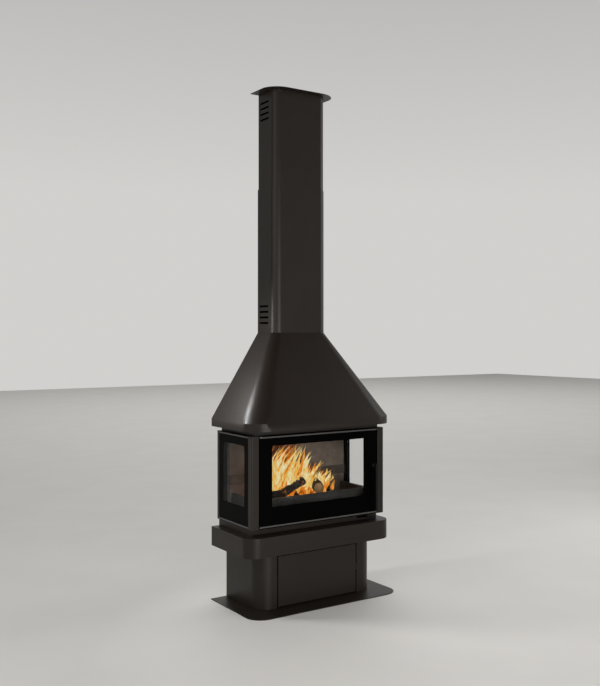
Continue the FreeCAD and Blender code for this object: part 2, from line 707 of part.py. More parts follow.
def make_fire_door():
    """Makes the fire door's frame, glass, seals and strips, and the two pivots that it turns on."""
    pivot_x = f"-({DOOR_HALF} - door_pivot_inset)"
    pivot_depth = "firebox_depth - door_pivot_setback"
    outline = rectangle(f"-({DOOR_HALF})", DOOR_HALF, DOOR_BASE, DOOR_TOP)
    window = rectangle("-window_width/2", "window_width/2", WINDOW_BASE, WINDOW_TOP)
    bore = (pivot_x, f"-({pivot_depth})", "door_pin_radius + turn_gap")

    frame = new_body("door_frame")
    add_pad(frame, "XZ", DOOR_BACK, "door_frame_depth", [outline, window],
            [(HANDLE_PLACE, SPINDLE_HEIGHT, "spindle_radius + turn_gap")])
    for start in (f"{DOOR_TOP} + cut_overrun", f"{DOOR_BASE} + door_pin_reach + fit_gap"):
        add_pocket(frame, "XY", start, "door_pin_reach + cut_overrun + fit_gap", [], [bore])

    tape = rectangle("-(window_width/2 + tape_width)", "window_width/2 + tape_width",
                     f"{WINDOW_BASE} - tape_width", f"{WINDOW_TOP} + tape_width")
    prism("door_glass_tape", "XZ", FRAME_FRONT, "tape_gauge", [tape, window])
    prism("door_glass", "XZ", f"{GLASS_FRONT} - glass_gauge", "glass_gauge", [outline],
          [(HANDLE_PLACE, SPINDLE_HEIGHT, "spindle_radius + fit_gap")])
    prism("door_glass_strips", "XZ", GLASS_FRONT, "retainer_gauge", [
        rectangle(f"-({DOOR_HALF})", DOOR_HALF, DOOR_BASE, f"{DOOR_BASE} + retainer_height"),
        rectangle(f"-({DOOR_HALF})", DOOR_HALF, f"{DOOR_TOP} - retainer_height", DOOR_TOP)])

    inner = "(opening_margin + door_seal_margin)"
    outer = "(opening_margin + door_seal_margin + door_seal_width)"
    prism("door_rope_seal", "XZ", FRONT_FACE, "door_seal_depth", [
        rectangle(f"-(window_width/2 + {outer})", f"window_width/2 + {outer}",
                  f"{WINDOW_BASE} - {outer}", f"{WINDOW_TOP} + {outer}", "door_seal_width"),
        rectangle(f"-(window_width/2 + {inner})", f"window_width/2 + {inner}",
                  f"{WINDOW_BASE} - {inner}", f"{WINDOW_TOP} + {inner}")])

    low = f"{DOOR_BASE} - fit_gap"
    high = f"{DOOR_TOP} + fit_gap"
    turned("door_pivot_pins", pivot_x, pivot_depth, [
        ("0", FIREBOX_FLOOR), ("door_boss_radius", FIREBOX_FLOOR), ("door_boss_radius", low),
        ("door_pin_radius", low), ("door_pin_radius", f"{low} + door_pin_reach"),
        ("0", f"{low} + door_pin_reach")
    ], [
        ("0", f"{high} - door_pin_reach"), ("door_pin_radius", f"{high} - door_pin_reach"),
        ("door_pin_radius", high), ("door_boss_radius", high), ("door_boss_radius", FIREBOX_CEILING),
        ("0", FIREBOX_CEILING)])


def make_handle():
    """Makes the door's lever handle, spindle and rose, the latch cam and the keeper beside it."""
    low = f"{DOOR_BASE} + handle_base"
    bar = new_body("door_handle")
    add_pad(bar, "XZ", "firebox_depth + handle_standoff", "handle_gauge", [rectangle(
        f"{HANDLE_PLACE} - handle_width/2", f"{HANDLE_PLACE} + handle_width/2",
        low, f"{low} + handle_length", "handle_softness")])
    soften(bar, "handle_softness", FreeCAD.Vector(0, -1, 0))

    cam_front = f"{DOOR_BACK} - fit_gap"
    prism("handle_spindle", "XZ", cam_front, f"firebox_depth + handle_standoff - ({cam_front})", [],
          [(HANDLE_PLACE, SPINDLE_HEIGHT, "spindle_radius")])
    prism("handle_rose", "XZ", GLASS_FRONT, "rose_gauge", [], [
        (HANDLE_PLACE, SPINDLE_HEIGHT, "rose_radius"),
        (HANDLE_PLACE, SPINDLE_HEIGHT, "spindle_radius + turn_gap")])

    prism("latch_cam", "XZ", f"{cam_front} - cam_gauge", "cam_gauge", [rectangle(
        f"{HANDLE_PLACE} - cam_width/2", f"{HANDLE_PLACE} + cam_width/2", f"{SPINDLE_HEIGHT} - cam_reach",
        f"{SPINDLE_HEIGHT} + cam_width/2", "handle_softness")])
    beside = f"{HANDLE_PLACE} - cam_width/2 - fit_gap"
    prism("latch_keeper", "XZ", FRONT_FACE, "keeper_gauge", [rectangle(
        f"{beside} - keeper_width", beside, f"{SPINDLE_HEIGHT} - cam_reach - keeper_height/2",
        f"{SPINDLE_HEIGHT} - cam_width")])


def make_hearth():
    """Makes the hearth plate, grate, ash pan, supports and the log fence that stands round the fire."""
    front = f"{CHAMBER_FRONT} - hearth_gap"
    half = f"{CHAMBER_HALF} - hearth_gap"
    low, high = "-(grate_centre + grate_depth/2)", "-(grate_centre - grate_depth/2)"
    prism("hearth_plate", "XY", HEARTH_UNDER, "hearth_gauge", [
        rectangle(f"-({half})", half, f"-({front})", f"-({CHAMBER_BACK})"),
        rectangle("-grate_width/2", "grate_width/2", low, high)])

    loops = [rectangle("-(grate_width/2 - fit_gap)", "grate_width/2 - fit_gap",
                       f"{low} + fit_gap", f"{high} - fit_gap")]
    for place in row_places(GRATE_SLOT_COUNT, "grate_slot_pitch"):
        loops.append(rectangle(f"{place} - grate_slot_width/2", f"{place} + grate_slot_width/2",
                               f"{low} + grate_rim", f"{high} - grate_rim"))
    prism("fire_grate", "XY", HEARTH_UNDER, "hearth_gauge", loops)

    channels = []
    for sign in ("-", ""):
        near, far = f"{sign}support_inner", f"{sign}support_outer"
        near_in, far_in = f"{sign}(support_inner + support_gauge)", f"{sign}(support_outer - support_gauge)"
        channels.append([
            (near, FIREBOX_FLOOR), (near_in, FIREBOX_FLOOR), (near_in, f"{HEARTH_UNDER} - support_gauge"),
            (far_in, f"{HEARTH_UNDER} - support_gauge"), (far_in, FIREBOX_FLOOR), (far, FIREBOX_FLOOR),
            (far, HEARTH_UNDER), (near, HEARTH_UNDER)])
    prism("hearth_supports", "XZ", "support_setback", f"{CHAMBER_FRONT} - 2*support_setback", channels)

    pan = new_body("ash_pan")
    pan_half = "support_inner - hearth_gap"
    add_pad(pan, "XY", FIREBOX_FLOOR, "pan_height",
            [rectangle(f"-({pan_half})", pan_half, "-(pan_front)", "-(pan_back)")])
    inner = f"{pan_half} - pan_gauge"
    add_pocket(pan, "XY", f"{FIREBOX_FLOOR} + pan_height + cut_overrun",
               "pan_height + cut_overrun - pan_gauge",
               [rectangle(f"-({inner})", inner, "-(pan_front - pan_gauge)", "-(pan_back + pan_gauge)")])

    fence = new_body("log_fence")
    lining_face = f"-({CHAMBER_BACK} + lining_gauge)"
    add_pad(fence, "XY", HEARTH_TOP, "fence_height",
            [bent_strip("fence_width/2", "fence_front", "fence_corner", "fence_wall", lining_face)])
    soften(fence, "fence_softness", FreeCAD.Vector(0, 0, 1))


BAFFLE_BASE = FIREBOX_CEILING + " - baffle_drop"
AIR_BAR_BASE = HEARTH_TOP + " + lining_height"
AIR_BAR_TOP = AIR_BAR_BASE + " + air_bar_height"


def make_lining():
    """Makes the lining slabs of the back wall, the air bar between them and the smoke baffle."""
    wide = "-lining_width/2", "lining_width/2"
    slabs = (("lower", HEARTH_TOP, AIR_BAR_BASE), ("upper", AIR_BAR_TOP, BAFFLE_BASE))
    for name, low, high in slabs:
        prism(f"{name}_back_lining", "XZ", CHAMBER_BACK, "lining_gauge", [rectangle(*wide, low, high)])

    bar = new_body("air_bar")
    add_pad(bar, "XZ", CHAMBER_BACK, "air_bar_gauge", [rectangle(*wide, AIR_BAR_BASE, AIR_BAR_TOP)])
    add_pocket(bar, "XZ", f"{CHAMBER_BACK} + air_bar_gauge - air_bar_wall", "air_bar_gauge", [rectangle(
        "-(lining_width/2 - air_bar_wall)", "lining_width/2 - air_bar_wall",
        f"{AIR_BAR_BASE} + air_bar_wall", f"{AIR_BAR_TOP} - air_bar_wall")])
    jets = [(place, f"{AIR_BAR_BASE} + air_bar_height/2", "air_jet_radius")
            for place in row_places(AIR_JET_COUNT, "air_jet_pitch")]
    add_pocket(bar, "XZ", f"{CHAMBER_BACK} + air_bar_gauge + cut_overrun",
               "air_bar_wall + 2*cut_overrun", [], jets)

    prism("smoke_baffle", "XY", BAFFLE_BASE, "baffle_gauge",
          [rectangle("-baffle_width/2", "baffle_width/2", "-(baffle_depth)", f"-({CHAMBER_BACK})")])
    rails = []
    for sign in ("-", ""):
        near, far = f"{sign}(baffle_width/2 + fit_gap)", f"{sign}(baffle_width/2 + fit_gap + rail_gauge)"
        ledge = f"{sign}(baffle_width/2 - rail_ledge)"
        rails.append([
            (far, FIREBOX_CEILING), (near, FIREBOX_CEILING), (near, BAFFLE_BASE), (ledge, BAFFLE_BASE),
            (ledge, f"{BAFFLE_BASE} - rail_gauge"), (far, f"{BAFFLE_BASE} - rail_gauge")])
    prism("baffle_rails", "XZ", f"{CHAMBER_BACK} + lining_gauge + fit_gap",
          f"baffle_depth - ({CHAMBER_BACK} + lining_gauge + fit_gap)", rails)


def make_flue():
    """Makes the collar on the firebox top and the two lengths of flue pipe."""
    base, flange = FIREBOX_ROOF, f"{FIREBOX_ROOF} + collar_gauge"
    spigot, bore = "flue_bore - fit_gap", "flue_bore - collar_wall"
    turned("flue_collar", "0", "flue_depth", [
        (bore, base), ("collar_radius", base), ("collar_radius", flange), (spigot, flange),
        (spigot, f"{base} + collar_height"), (bore, f"{base} + collar_height")])

    outside = "flue_bore + flue_wall"
    joint = f"{flange} + flue_joint_height"
    turned("flue_pipe_lower", "0", "flue_depth", [
        ("flue_bore", flange), (outside, flange), (outside, joint), ("flue_bore", joint)])
    lap = f"{joint} - flue_lap"
    neck = f"{spigot} - flue_wall"
    top = f"{CEILING} + ceiling_plate_gauge"
    turned("flue_pipe_upper", "0", "flue_depth", [
        (neck, lap), (spigot, lap), (spigot, joint), (outside, joint), (outside, top), ("flue_bore", top),
        ("flue_bore", f"{joint} + flue_wall"), (neck, f"{joint} + flue_wall")])


def make_hood():
    """Makes the neck on the firebox top and the hood: an upright rim and a slope with conical corners."""
    half, front = "firebox_width/2 - neck_inset", "firebox_depth - neck_inset"
    prism("hood_neck", "XY", FIREBOX_ROOF, "neck_height", [
        rectangle(f"-({half})", half, f"-({front})", "-hood_gauge"),
        rectangle(f"-({half} - neck_gauge)", f"{half} - neck_gauge", f"-({front} - neck_gauge)",
                  "-(hood_gauge + neck_gauge)")])

    hood = new_body("hood")
    rim = folded_sheet("hood_width/2", "hood_depth", "hood_corner", "hood_gauge", "hood_lip")
    add_pad(hood, "XY", HOOD_BASE, "hood_rim_height", [rim])
    slope = hood.newObject("PartDesign::AdditiveLoft", "hood_slope")
    slope.Profile = add_sketch(hood, "XY", f"{HOOD_BASE} + hood_rim_height", [rim])
    crown = folded_sheet("casing_width/2", "casing_depth", "casing_corner", "hood_gauge", "hood_lip")
    slope.Sections = [add_sketch(hood, "XY", CASING_BASE, [crown])]
    slope.Ruled = True

    ledge_half, ledge_front = f"({half}) - hood_ledge_lap", f"({front}) - hood_ledge_lap"
    outer_half, outer_front = "hood_width/2 - hood_gauge/2", "hood_depth - hood_gauge/2"
    turn = "hood_corner - hood_gauge/2"
    add_pad(hood, "XY", HOOD_BASE, "hood_gauge", [[
        (f"-({outer_half})", "-hood_gauge/2"), (f"-({outer_half})", f"-({outer_front})", turn),
        (outer_half, f"-({outer_front})", turn), (outer_half, "-hood_gauge/2"),
        (ledge_half, "-hood_gauge/2"), (ledge_half, f"-({ledge_front})"),
        (f"-({ledge_half})", f"-({ledge_front})"),
        (f"-({ledge_half})", "-hood_gauge/2")]])


def vents(base, rise):
    """Returns the outlines of one group of vent slots, stacked upwards or downwards from a height."""
    loops = []
    for index in range(VENT_COUNT):
        middle = f"{base} {rise} {index}*vent_pitch"
        loops.append(rectangle("-(vent_centre + vent_length/2)", "-(vent_centre - vent_length/2)",
                               f"{middle} - vent_height/2", f"{middle} + vent_height/2", "vent_round"))
    return loops


def make_casing():
    """Makes the fixed lower casing, its locating band and wall bracket, and the sliding upper casing."""
    lower = new_body("lower_casing")
    plan = folded_sheet("casing_width/2", "casing_depth", "casing_corner", "casing_gauge", "casing_lip")
    add_pad(lower, "XY", CASING_BASE, "lower_casing_height", [plan])
    across = "casing_width/2 + cut_overrun"
    add_pocket(lower, "YZ", across, f"2*({across})", vents(f"{CASING_BASE} + lower_vent_rise", "+"))

    inset = "(casing_gauge + fit_gap)"
    prism("casing_locating_band", "XY", f"{CASING_BASE} - band_drop", "band_drop + band_rise", [bent_strip(
        f"casing_width/2 - {inset}", f"casing_depth - {inset}", f"casing_corner - {inset}", "band_gauge",
        f"-{inset}")])
    half = "casing_width/2 - casing_gauge - bracket_inset"
    low = f"{CASING_BASE} + bracket_rise - bracket_height/2"
    holes = [(f"{sign}bracket_hole_pitch/2", f"{CASING_BASE} + bracket_rise", "bracket_hole_radius")
             for sign in ("-", "")]
    prism("casing_wall_bracket", "XZ", "casing_gauge", "bracket_gauge",
          [rectangle(f"-({half})", half, low, f"{low} + bracket_height")], holes)

    upper = new_body("upper_casing")
    slip = "(casing_gauge + casing_gap)"
    plan = folded_sheet(f"casing_width/2 - {slip}", f"casing_depth - {slip}", f"casing_corner - {slip}",
                        "casing_gauge", "casing_lip", f"-{slip}")
    add_pad(upper, "XY", f"{CASING_STEP} - upper_casing_lap", "upper_casing_rise + upper_casing_lap",
            [plan])
    add_pocket(upper, "YZ", across, f"2*({across})", vents(f"{CEILING} - upper_vent_drop", "-"))

    outline = front_rounded("ceiling_plate_width/2", "ceiling_plate_depth", "ceiling_plate_corner")
    edge = "ceiling_plate_width/2 - ceiling_hole_edge"
    holes = [("0", "-flue_depth", "flue_bore + flue_wall + ceiling_flue_gap")]
    for sign in ("-", ""):
        for back in ("-ceiling_hole_back", "-(ceiling_hole_back + ceiling_hole_pitch)"):
            holes.append((f"{sign}({edge})", back, "ceiling_hole_radius"))
    prism("ceiling_plate", "XY", CEILING, "ceiling_plate_gauge", [outline], holes)


def write_parts():
    """Checks every object of the document, then writes each sub-part to its own file."""
    DOC.recompute()
    broken = [item.Label for item in DOC.Objects if {"Invalid", "Error"} & set(item.State)]
    broken += [body.Label for body in NODES
               if body.Shape.isNull() or not body.Shape.isValid() or not body.Shape.Solids]
    if broken:
        raise RuntimeError("These objects are not sound: " + ", ".join(broken))
    os.makedirs("parts", exist_ok=True)
    for body in NODES:
        body.Shape.exportStep(f"parts/{body.Label}.step")


fill_sheet()
make_floor_plate()
make_pedestal()
make_store_door()
make_bench()
make_plinth()
make_air_control()
make_firebox_shell()
make_side_glazing()
make_fire_door()
make_handle()
make_hearth()
make_lining()
make_flue()
make_hood()
make_casing()
write_parts()
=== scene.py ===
"""Looks of a steel fireplace: log store, glazed firebox, sloping hood and telescopic flue casing.

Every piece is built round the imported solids, in their frame: metres, X to the right, Y back to the wall
plane and Z up from the floor.
"""

import json
import logging
import math
import random
from dataclasses import dataclass
from enum import Enum
from typing import Iterable, Optional, Sequence, Union

import bmesh
import bpy
from mathutils import Euler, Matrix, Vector, noise


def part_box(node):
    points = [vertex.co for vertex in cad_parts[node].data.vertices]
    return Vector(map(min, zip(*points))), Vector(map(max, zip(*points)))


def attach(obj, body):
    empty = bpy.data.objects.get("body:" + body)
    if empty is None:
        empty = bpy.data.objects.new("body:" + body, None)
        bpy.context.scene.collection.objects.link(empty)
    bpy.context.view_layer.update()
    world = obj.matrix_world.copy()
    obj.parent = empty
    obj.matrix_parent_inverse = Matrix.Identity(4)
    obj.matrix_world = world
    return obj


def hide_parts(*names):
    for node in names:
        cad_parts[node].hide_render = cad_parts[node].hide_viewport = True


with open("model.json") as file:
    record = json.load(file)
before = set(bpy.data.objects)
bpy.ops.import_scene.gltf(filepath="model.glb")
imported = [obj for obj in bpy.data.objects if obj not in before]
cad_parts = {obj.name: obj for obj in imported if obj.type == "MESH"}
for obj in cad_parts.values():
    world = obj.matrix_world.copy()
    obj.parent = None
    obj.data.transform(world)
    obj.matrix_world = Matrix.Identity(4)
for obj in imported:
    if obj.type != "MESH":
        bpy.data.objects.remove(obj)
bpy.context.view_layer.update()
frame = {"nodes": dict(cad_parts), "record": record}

LOG = logging.getLogger("fireplace")
Pair = tuple[float, float]
Point = tuple[float, float, float]
Colour = tuple[float, float, float]
Face = tuple[int, ...]
Socket = bpy.types.NodeSocket
Value = Union[float, Sequence[float], Socket]

BLACK: Colour = (0.0, 0.0, 0.0)
UPWARDS: Point = (0.0, 0.0, 1.0)
NO_TURN: Point = (0.0, 0.0, 0.0)
# Span that most values of a noise texture lie in.
NOISE_SPAN: Pair = (0.3, 0.7)
# Faces across an eased edge: a plain one, and one whose roundness shows.
PLAIN_FACES = 2
ROUND_FACES = 3


class Slot(Enum):
    """Material slots of the record."""

    CASING_PAINT = "casing_paint"
    FRAME_BLACK = "frame_black"
    TRIM_GREY = "trim_grey"
    HANDLE_BLACK = "handle_black"
    BARE_STEEL = "bare_steel"
    SMOKED_STEEL = "smoked_steel"
    FLUE_PAINT = "flue_paint"
    HEARTH_IRON = "hearth_iron"
    LINING_BOARD = "lining_board"
    PANE = "pane"
    SEAL_FIBRE = "seal_fibre"


class Body(Enum):
    """Bodies that the pieces ride on."""

    FIREPLACE = "fireplace"
    FIRE_DOOR = "fire_door"
    HANDLE = "handle"
    STORE_DOOR = "log_store_door"
    AIR_CONTROL = "air_control"
    SLIDING_CASING = "sliding_casing"


class Facing(Enum):
    """Turns that bring a screw's head from +Z to another direction."""

    DOWN = (math.pi, 0.0, 0.0)
    BACK = (-math.pi / 2, 0.0, 0.0)


class Nodes:
    """Nodes of one tree, added and linked by plain calls."""

    def __init__(self, tree: bpy.types.NodeTree) -> None:
        """Keeps the tree that takes the nodes."""
        self.tree = tree

    def give(self, socket: Socket, value: Value) -> None:
        """Links or sets one input.

        Args:
            socket: The input.
            value: The socket to link, or a number, a vector or an opaque colour.
        """
        if isinstance(value, bpy.types.NodeSocket):
            self.tree.links.new(value, socket)
        else:
            socket.default_value = (*value, 1.0) if socket.type == "RGBA" else value

    def add(self, kind: str, inputs: Optional[dict[Union[int, str], Value]] = None,
            **settings: str) -> bpy.types.Node:
        """Adds a node.

        Args:
            kind: The node's type.
            inputs: Input by name or number, and what it takes.
            settings: Properties of the node itself.

        Returns:
            The new node.
        """
        node = self.tree.nodes.new(kind)
        for name, setting in settings.items():
            setattr(node, name, setting)
        for key, value in (inputs or {}).items():
            self.give(node.inputs[key], value)
        return node

    def calculate(self, operation: str, *values: Union[float, Socket]) -> Socket:
        """Returns the result of one operation on numbers."""
        return self.add("ShaderNodeMath", dict(enumerate(values)), operation=operation).outputs[0]

    def ranged(self, value: Socket, span: Pair, target: Pair) -> Socket:
        """Returns a value moved from one span to another, and held inside it."""
        return self.add("ShaderNodeMapRange", {
            "Value": value, "From Min": span[0], "From Max": span[1],
            "To Min": target[0], "To Max": target[1]}).outputs["Result"]


class Shader(Nodes):
    """Nodes of one material that end in a Principled surface."""

    def __init__(self, name: str) -> None:
        """Starts a material with a surface, an output and Object coordinates.

        Args:
            name: The material's name.
        """
        self.material = bpy.data.materials.new(name)
        self.material.use_nodes = True
        super().__init__(self.material.node_tree)
        self.tree.nodes.clear()
        self.surface = self.add("ShaderNodeBsdfPrincipled")
        self.add("ShaderNodeOutputMaterial", {"Surface": self.surface.outputs[0]})
        self.places = self.add("ShaderNodeTexCoord").outputs["Object"]

    def put(self, name: str, value: Value) -> None:
        """Sets or links one named input of the surface."""
        self.give(self.surface.inputs[name], value)

    def stretched(self, scale: Point, turn: Point = NO_TURN) -> Socket:
        """Returns Object coordinates scaled, and turned, along the axes."""
        return self.add("ShaderNodeMapping", {
            "Vector": self.places, "Scale": scale, "Rotation": turn}).outputs["Vector"]

    def noise(self, scale: float, detail: float = 3.0, rough: float = 0.5,
              places: Optional[Socket] = None) -> Socket:
        """Returns the grey value of a noise texture.

        Args:
            scale: Waves in each metre, roughly.
            detail: Octaves of finer noise.
            rough: Share of the finer octaves.
            places: Coordinates to read; plain Object coordinates if None.

        Returns:
            The socket with the grey value.
        """
        return self.add("ShaderNodeTexNoise", {
            "Vector": places or self.places, "Scale": scale, "Detail": detail,
            "Roughness": rough}).outputs["Fac"]

    def streaks(self, scale: Point, detail: float, rough: float, turn: Point = NO_TURN) -> Socket:
        """Returns the grey value of a noise texture with its own scale along each axis."""
        return self.noise(1.0, detail, rough, self.stretched(scale, turn))

    def cells(self, scale: float) -> Socket:
        """Returns the distance value of a cell texture."""
        return self.add("ShaderNodeTexVoronoi", {"Vector": self.places, "Scale": scale}).outputs["Distance"]

    def rising(self, heights: Pair) -> Socket:
        """Returns a value that runs from 0 to 1 between two heights."""
        split = self.add("ShaderNodeSeparateXYZ", {0: self.places})
        return self.ranged(split.outputs["Z"], heights, (0.0, 1.0))

    def ramp(self, value: Socket, *stops: tuple[float, Colour]) -> Socket:
        """Returns colours picked by a value along a ramp.

        Args:
            value: What picks the colour.
            stops: Place and colour of each stop, in order.

        Returns:
            The socket with the colour.
        """
        node = self.add("ShaderNodeValToRGB", {0: value})
        elements = node.color_ramp.elements
        while len(elements) < len(stops):
            elements.new(0.5)
        for element, (place, colour) in zip(elements, stops):
            element.position = place
            element.color = (*colour, 1.0)
        return node.outputs["Color"]

    def blended(self, value: Socket, low: Colour, high: Colour, span: Pair = NOISE_SPAN) -> Socket:
        """Returns a blend from one colour to another over a span of a value."""
        return self.ramp(value, (span[0], low), (span[1], high))

    def mixed(self, share: Socket, first: Socket, second: Colour) -> Socket:
        """Returns one colour mixed into another by a share."""
        return self.add("ShaderNodeMix", {0: share, 6: first, 7: second}, data_type="RGBA").outputs[2]

    def relief(self, height: Socket, strength: float, depth: float) -> None:
        """Presses a height value into the surface.

        Args:
            height: Value from 0 to 1.
            strength: How much of the relief shows.
            depth: Its depth in metres.
        """
        bump = self.add("ShaderNodeBump", {"Height": height, "Strength": strength, "Distance": depth})
        self.put("Normal", bump.outputs["Normal"])


@dataclass(frozen=True)
class SatinPaint:
    """Heat-proof paint on sheet steel: fine grain, and faint clouds in colour and gloss."""

    name: str
    light: Colour
    dark: Colour
    roughness: Pair
    grain: float
    shine: float
    cloud_scale: float = 5.0
    gloss_scale: float = 34.0
    grain_scale: float = 900.0
    grain_depth: float = 0.0006

    def material(self) -> bpy.types.Material:
        """Returns the paint as a new material."""
        shader = Shader(self.name)
        clouds = shader.noise(self.cloud_scale, detail=4.0, rough=0.55)
        gloss = shader.noise(self.gloss_scale, detail=5.0)
        shader.put("Base Color", shader.blended(clouds, self.dark, self.light))
        shader.put("Roughness", shader.ranged(gloss, NOISE_SPAN, self.roughness))
        shader.put("Specular IOR Level", self.shine)
        shader.relief(shader.noise(self.grain_scale, detail=2.0), self.grain, self.grain_depth)
        return shader.material


@dataclass(frozen=True)
class MillSteel:
    """Bare rolled steel with fine lines along one direction."""

    name: str
    light: Colour
    dark: Colour
    roughness: Pair = (0.26, 0.42)
    line_scale: Point = (3.0, 400.0, 400.0)
    line_relief: float = 0.08
    line_depth: float = 0.0004

    def material(self) -> bpy.types.Material:
        """Returns the steel as a new material."""
        shader = Shader(self.name)
        lines = shader.streaks(self.line_scale, detail=4.0, rough=0.6)
        shader.put("Base Color", shader.blended(lines, self.dark, self.light))
        shader.put("Roughness", shader.ranged(lines, NOISE_SPAN, self.roughness))
        shader.put("Metallic", 1.0)
        shader.relief(lines, self.line_relief, self.line_depth)
        return shader.material


@dataclass(frozen=True)
class SootedIron:
    """Cast iron with a sand-cast skin, worn patches and specks of ash."""

    name: str
    iron: Colour
    worn: Colour
    ash: Colour
    roughness: Pair = (0.5, 0.8)
    metallic: float = 0.35
    skin_scale: float = 260.0
    skin_relief: float = 0.5
    skin_depth: float = 0.0012
    patch_scale: float = 22.0
    ash_scale: float = 60.0
    ash_share: float = 0.5

    def material(self) -> bpy.types.Material:
        """Returns the iron as a new material."""
        shader = Shader(self.name)
        skin = shader.noise(self.skin_scale, detail=6.0, rough=0.65)
        wear = shader.noise(self.patch_scale, detail=4.0)
        patches = shader.blended(wear, self.iron, self.worn, (0.32, 0.72))
        specks = shader.noise(self.ash_scale, detail=5.0, rough=0.7)
        dust = shader.ranged(specks, (0.55, 0.8), (0.0, self.ash_share))
        shader.put("Base Color", shader.mixed(dust, patches, self.ash))
        shader.put("Roughness", shader.ranged(skin, NOISE_SPAN, self.roughness))
        shader.put("Metallic", self.metallic)
        shader.relief(skin, self.skin_relief, self.skin_depth)
        return shader.material


@dataclass(frozen=True)
class LiningBoard:
    """Pressed mineral board: pale flakes, and a cloudy smoke stain that darkens upwards."""

    name: str
    board: Colour
    flake: Colour
    smoke: Colour
    roughness: float = 0.92
    flake_scale: float = 170.0
    flake_share: float = 0.45
    tone_scale: float = 40.0
    stain_scale: float = 7.0
    stain_heights: Pair = (0.5, 0.88)
    stain_shares: Pair = (0.25, 1.0)
    grit_scale: float = 420.0
    grit_relief: float = 0.4
    grit_depth: float = 0.0012

    def material(self) -> bpy.types.Material:
        """Returns the board as a new material."""
        shader = Shader(self.name)
        flakes = shader.ranged(shader.cells(self.flake_scale), (0.05, 0.5), (1.0, 0.0))
        tone = shader.blended(shader.noise(self.tone_scale, detail=5.0, rough=0.6), self.board, self.flake,
                              (0.3, 0.75))
        flaked = shader.mixed(shader.calculate("MULTIPLY", flakes, self.flake_share), tone, self.flake)
        clouds = shader.noise(self.stain_scale, detail=5.0, rough=0.6)
        stain = shader.calculate("MULTIPLY", shader.rising(self.stain_heights),
                                 shader.ranged(clouds, (0.25, 0.75), self.stain_shares))
        grit = shader.calculate("ADD", flakes, shader.noise(self.grit_scale, detail=4.0))
        shader.put("Base Color", shader.mixed(stain, flaked, self.smoke))
        shader.put("Roughness", self.roughness)
        shader.relief(grit, self.grit_relief, self.grit_depth)
        return shader.material


@dataclass(frozen=True)
class FireGlass:
    """Clear ceramic glass with a trace of smoke on it."""

    name: str
    tint: Colour
    refraction: float = 1.1
    haze: float = 0.02
    haze_scale: float = 9.0

    def material(self) -> bpy.types.Material:
        """Returns the glass as a new material."""
        shader = Shader(self.name)
        clouds = shader.noise(self.haze_scale, detail=4.0)
        shader.put("Base Color", self.tint)
        shader.put("Transmission Weight", 1.0)
        shader.put("IOR", self.refraction)
        shader.put("Roughness", shader.ranged(clouds, (0.4, 0.8), (0.0, self.haze)))
        return shader.material


@dataclass(frozen=True)
class KnittedFibre:
    """Grey glass-fibre rope and tape."""

    name: str
    light: Colour
    dark: Colour
    roughness: float = 0.95
    sheen: float = 0.2
    fibre_scale: float = 700.0
    fibre_relief: float = 0.6
    fibre_depth: float = 0.001

    def material(self) -> bpy.types.Material:
        """Returns the fibre as a new material."""
        shader = Shader(self.name)
        fibres = shader.noise(self.fibre_scale)
        shader.put("Base Color", shader.blended(fibres, self.dark, self.light))
        shader.put("Roughness", self.roughness)
        shader.put("Sheen Weight", self.sheen)
        shader.relief(fibres, self.fibre_relief, self.fibre_depth)
        return shader.material


@dataclass(frozen=True)
class CharredWood:
    """Burning wood: charcoal with glowing cracks."""

    name: str = "charred_wood"
    char: Colour = (0.005, 0.004, 0.0035)
    brown: Colour = (0.03, 0.015, 0.008)
    glow: Colour = (1.0, 0.2, 0.02)
    glow_power: float = 1.4
    roughness: float = 0.9
    bark_scale: float = 30.0
    crack_scale: float = 62.0
    ember_scale: float = 17.0
    grit_scale: float = 140.0
    bark_relief: float = 0.7
    bark_depth: float = 0.004

    def material(self) -> bpy.types.Material:
        """Returns the wood as a new material."""
        shader = Shader(self.name)
        cracks = shader.cells(self.crack_scale)
        bark = shader.noise(self.bark_scale, detail=5.0, rough=0.6)
        embers = shader.ranged(shader.noise(self.ember_scale), (0.55, 0.72), (0.0, 1.0))
        hot = shader.calculate("MULTIPLY", embers, shader.ranged(cracks, (0.45, 0.7), (0.0, 1.0)))
        grit = shader.calculate("ADD", cracks, shader.noise(self.grit_scale, detail=4.0))
        shader.put("Base Color", shader.blended(bark, self.char, self.brown, (0.45, 0.75)))
        shader.put("Roughness", self.roughness)
        shader.put("Emission Color", shader.blended(hot, BLACK, self.glow, (0.1, 0.9)))
        shader.put("Emission Strength", self.glow_power)
        shader.relief(grit, self.bark_relief, self.bark_depth)
        return shader.material


@dataclass(frozen=True)
class SawnWood:
    """Cut end of a log: brown wood with darker grain."""

    name: str = "sawn_wood"
    pale: Colour = (0.31, 0.187, 0.075)
    dark: Colour = (0.155, 0.08, 0.03)
    roughness: float = 0.85
    grain_scale: Point = (160.0, 30.0, 160.0)
    grain_relief: float = 0.3
    grain_depth: float = 0.0015

    def material(self) -> bpy.types.Material:
        """Returns the cut wood as a new material."""
        shader = Shader(self.name)
        grain = shader.streaks(self.grain_scale, detail=3.0, rough=0.55)
        shader.put("Base Color", shader.blended(grain, self.dark, self.pale, (0.3, 0.62)))
        shader.put("Roughness", self.roughness)
        shader.relief(grain, self.grain_relief, self.grain_depth)
        return shader.material


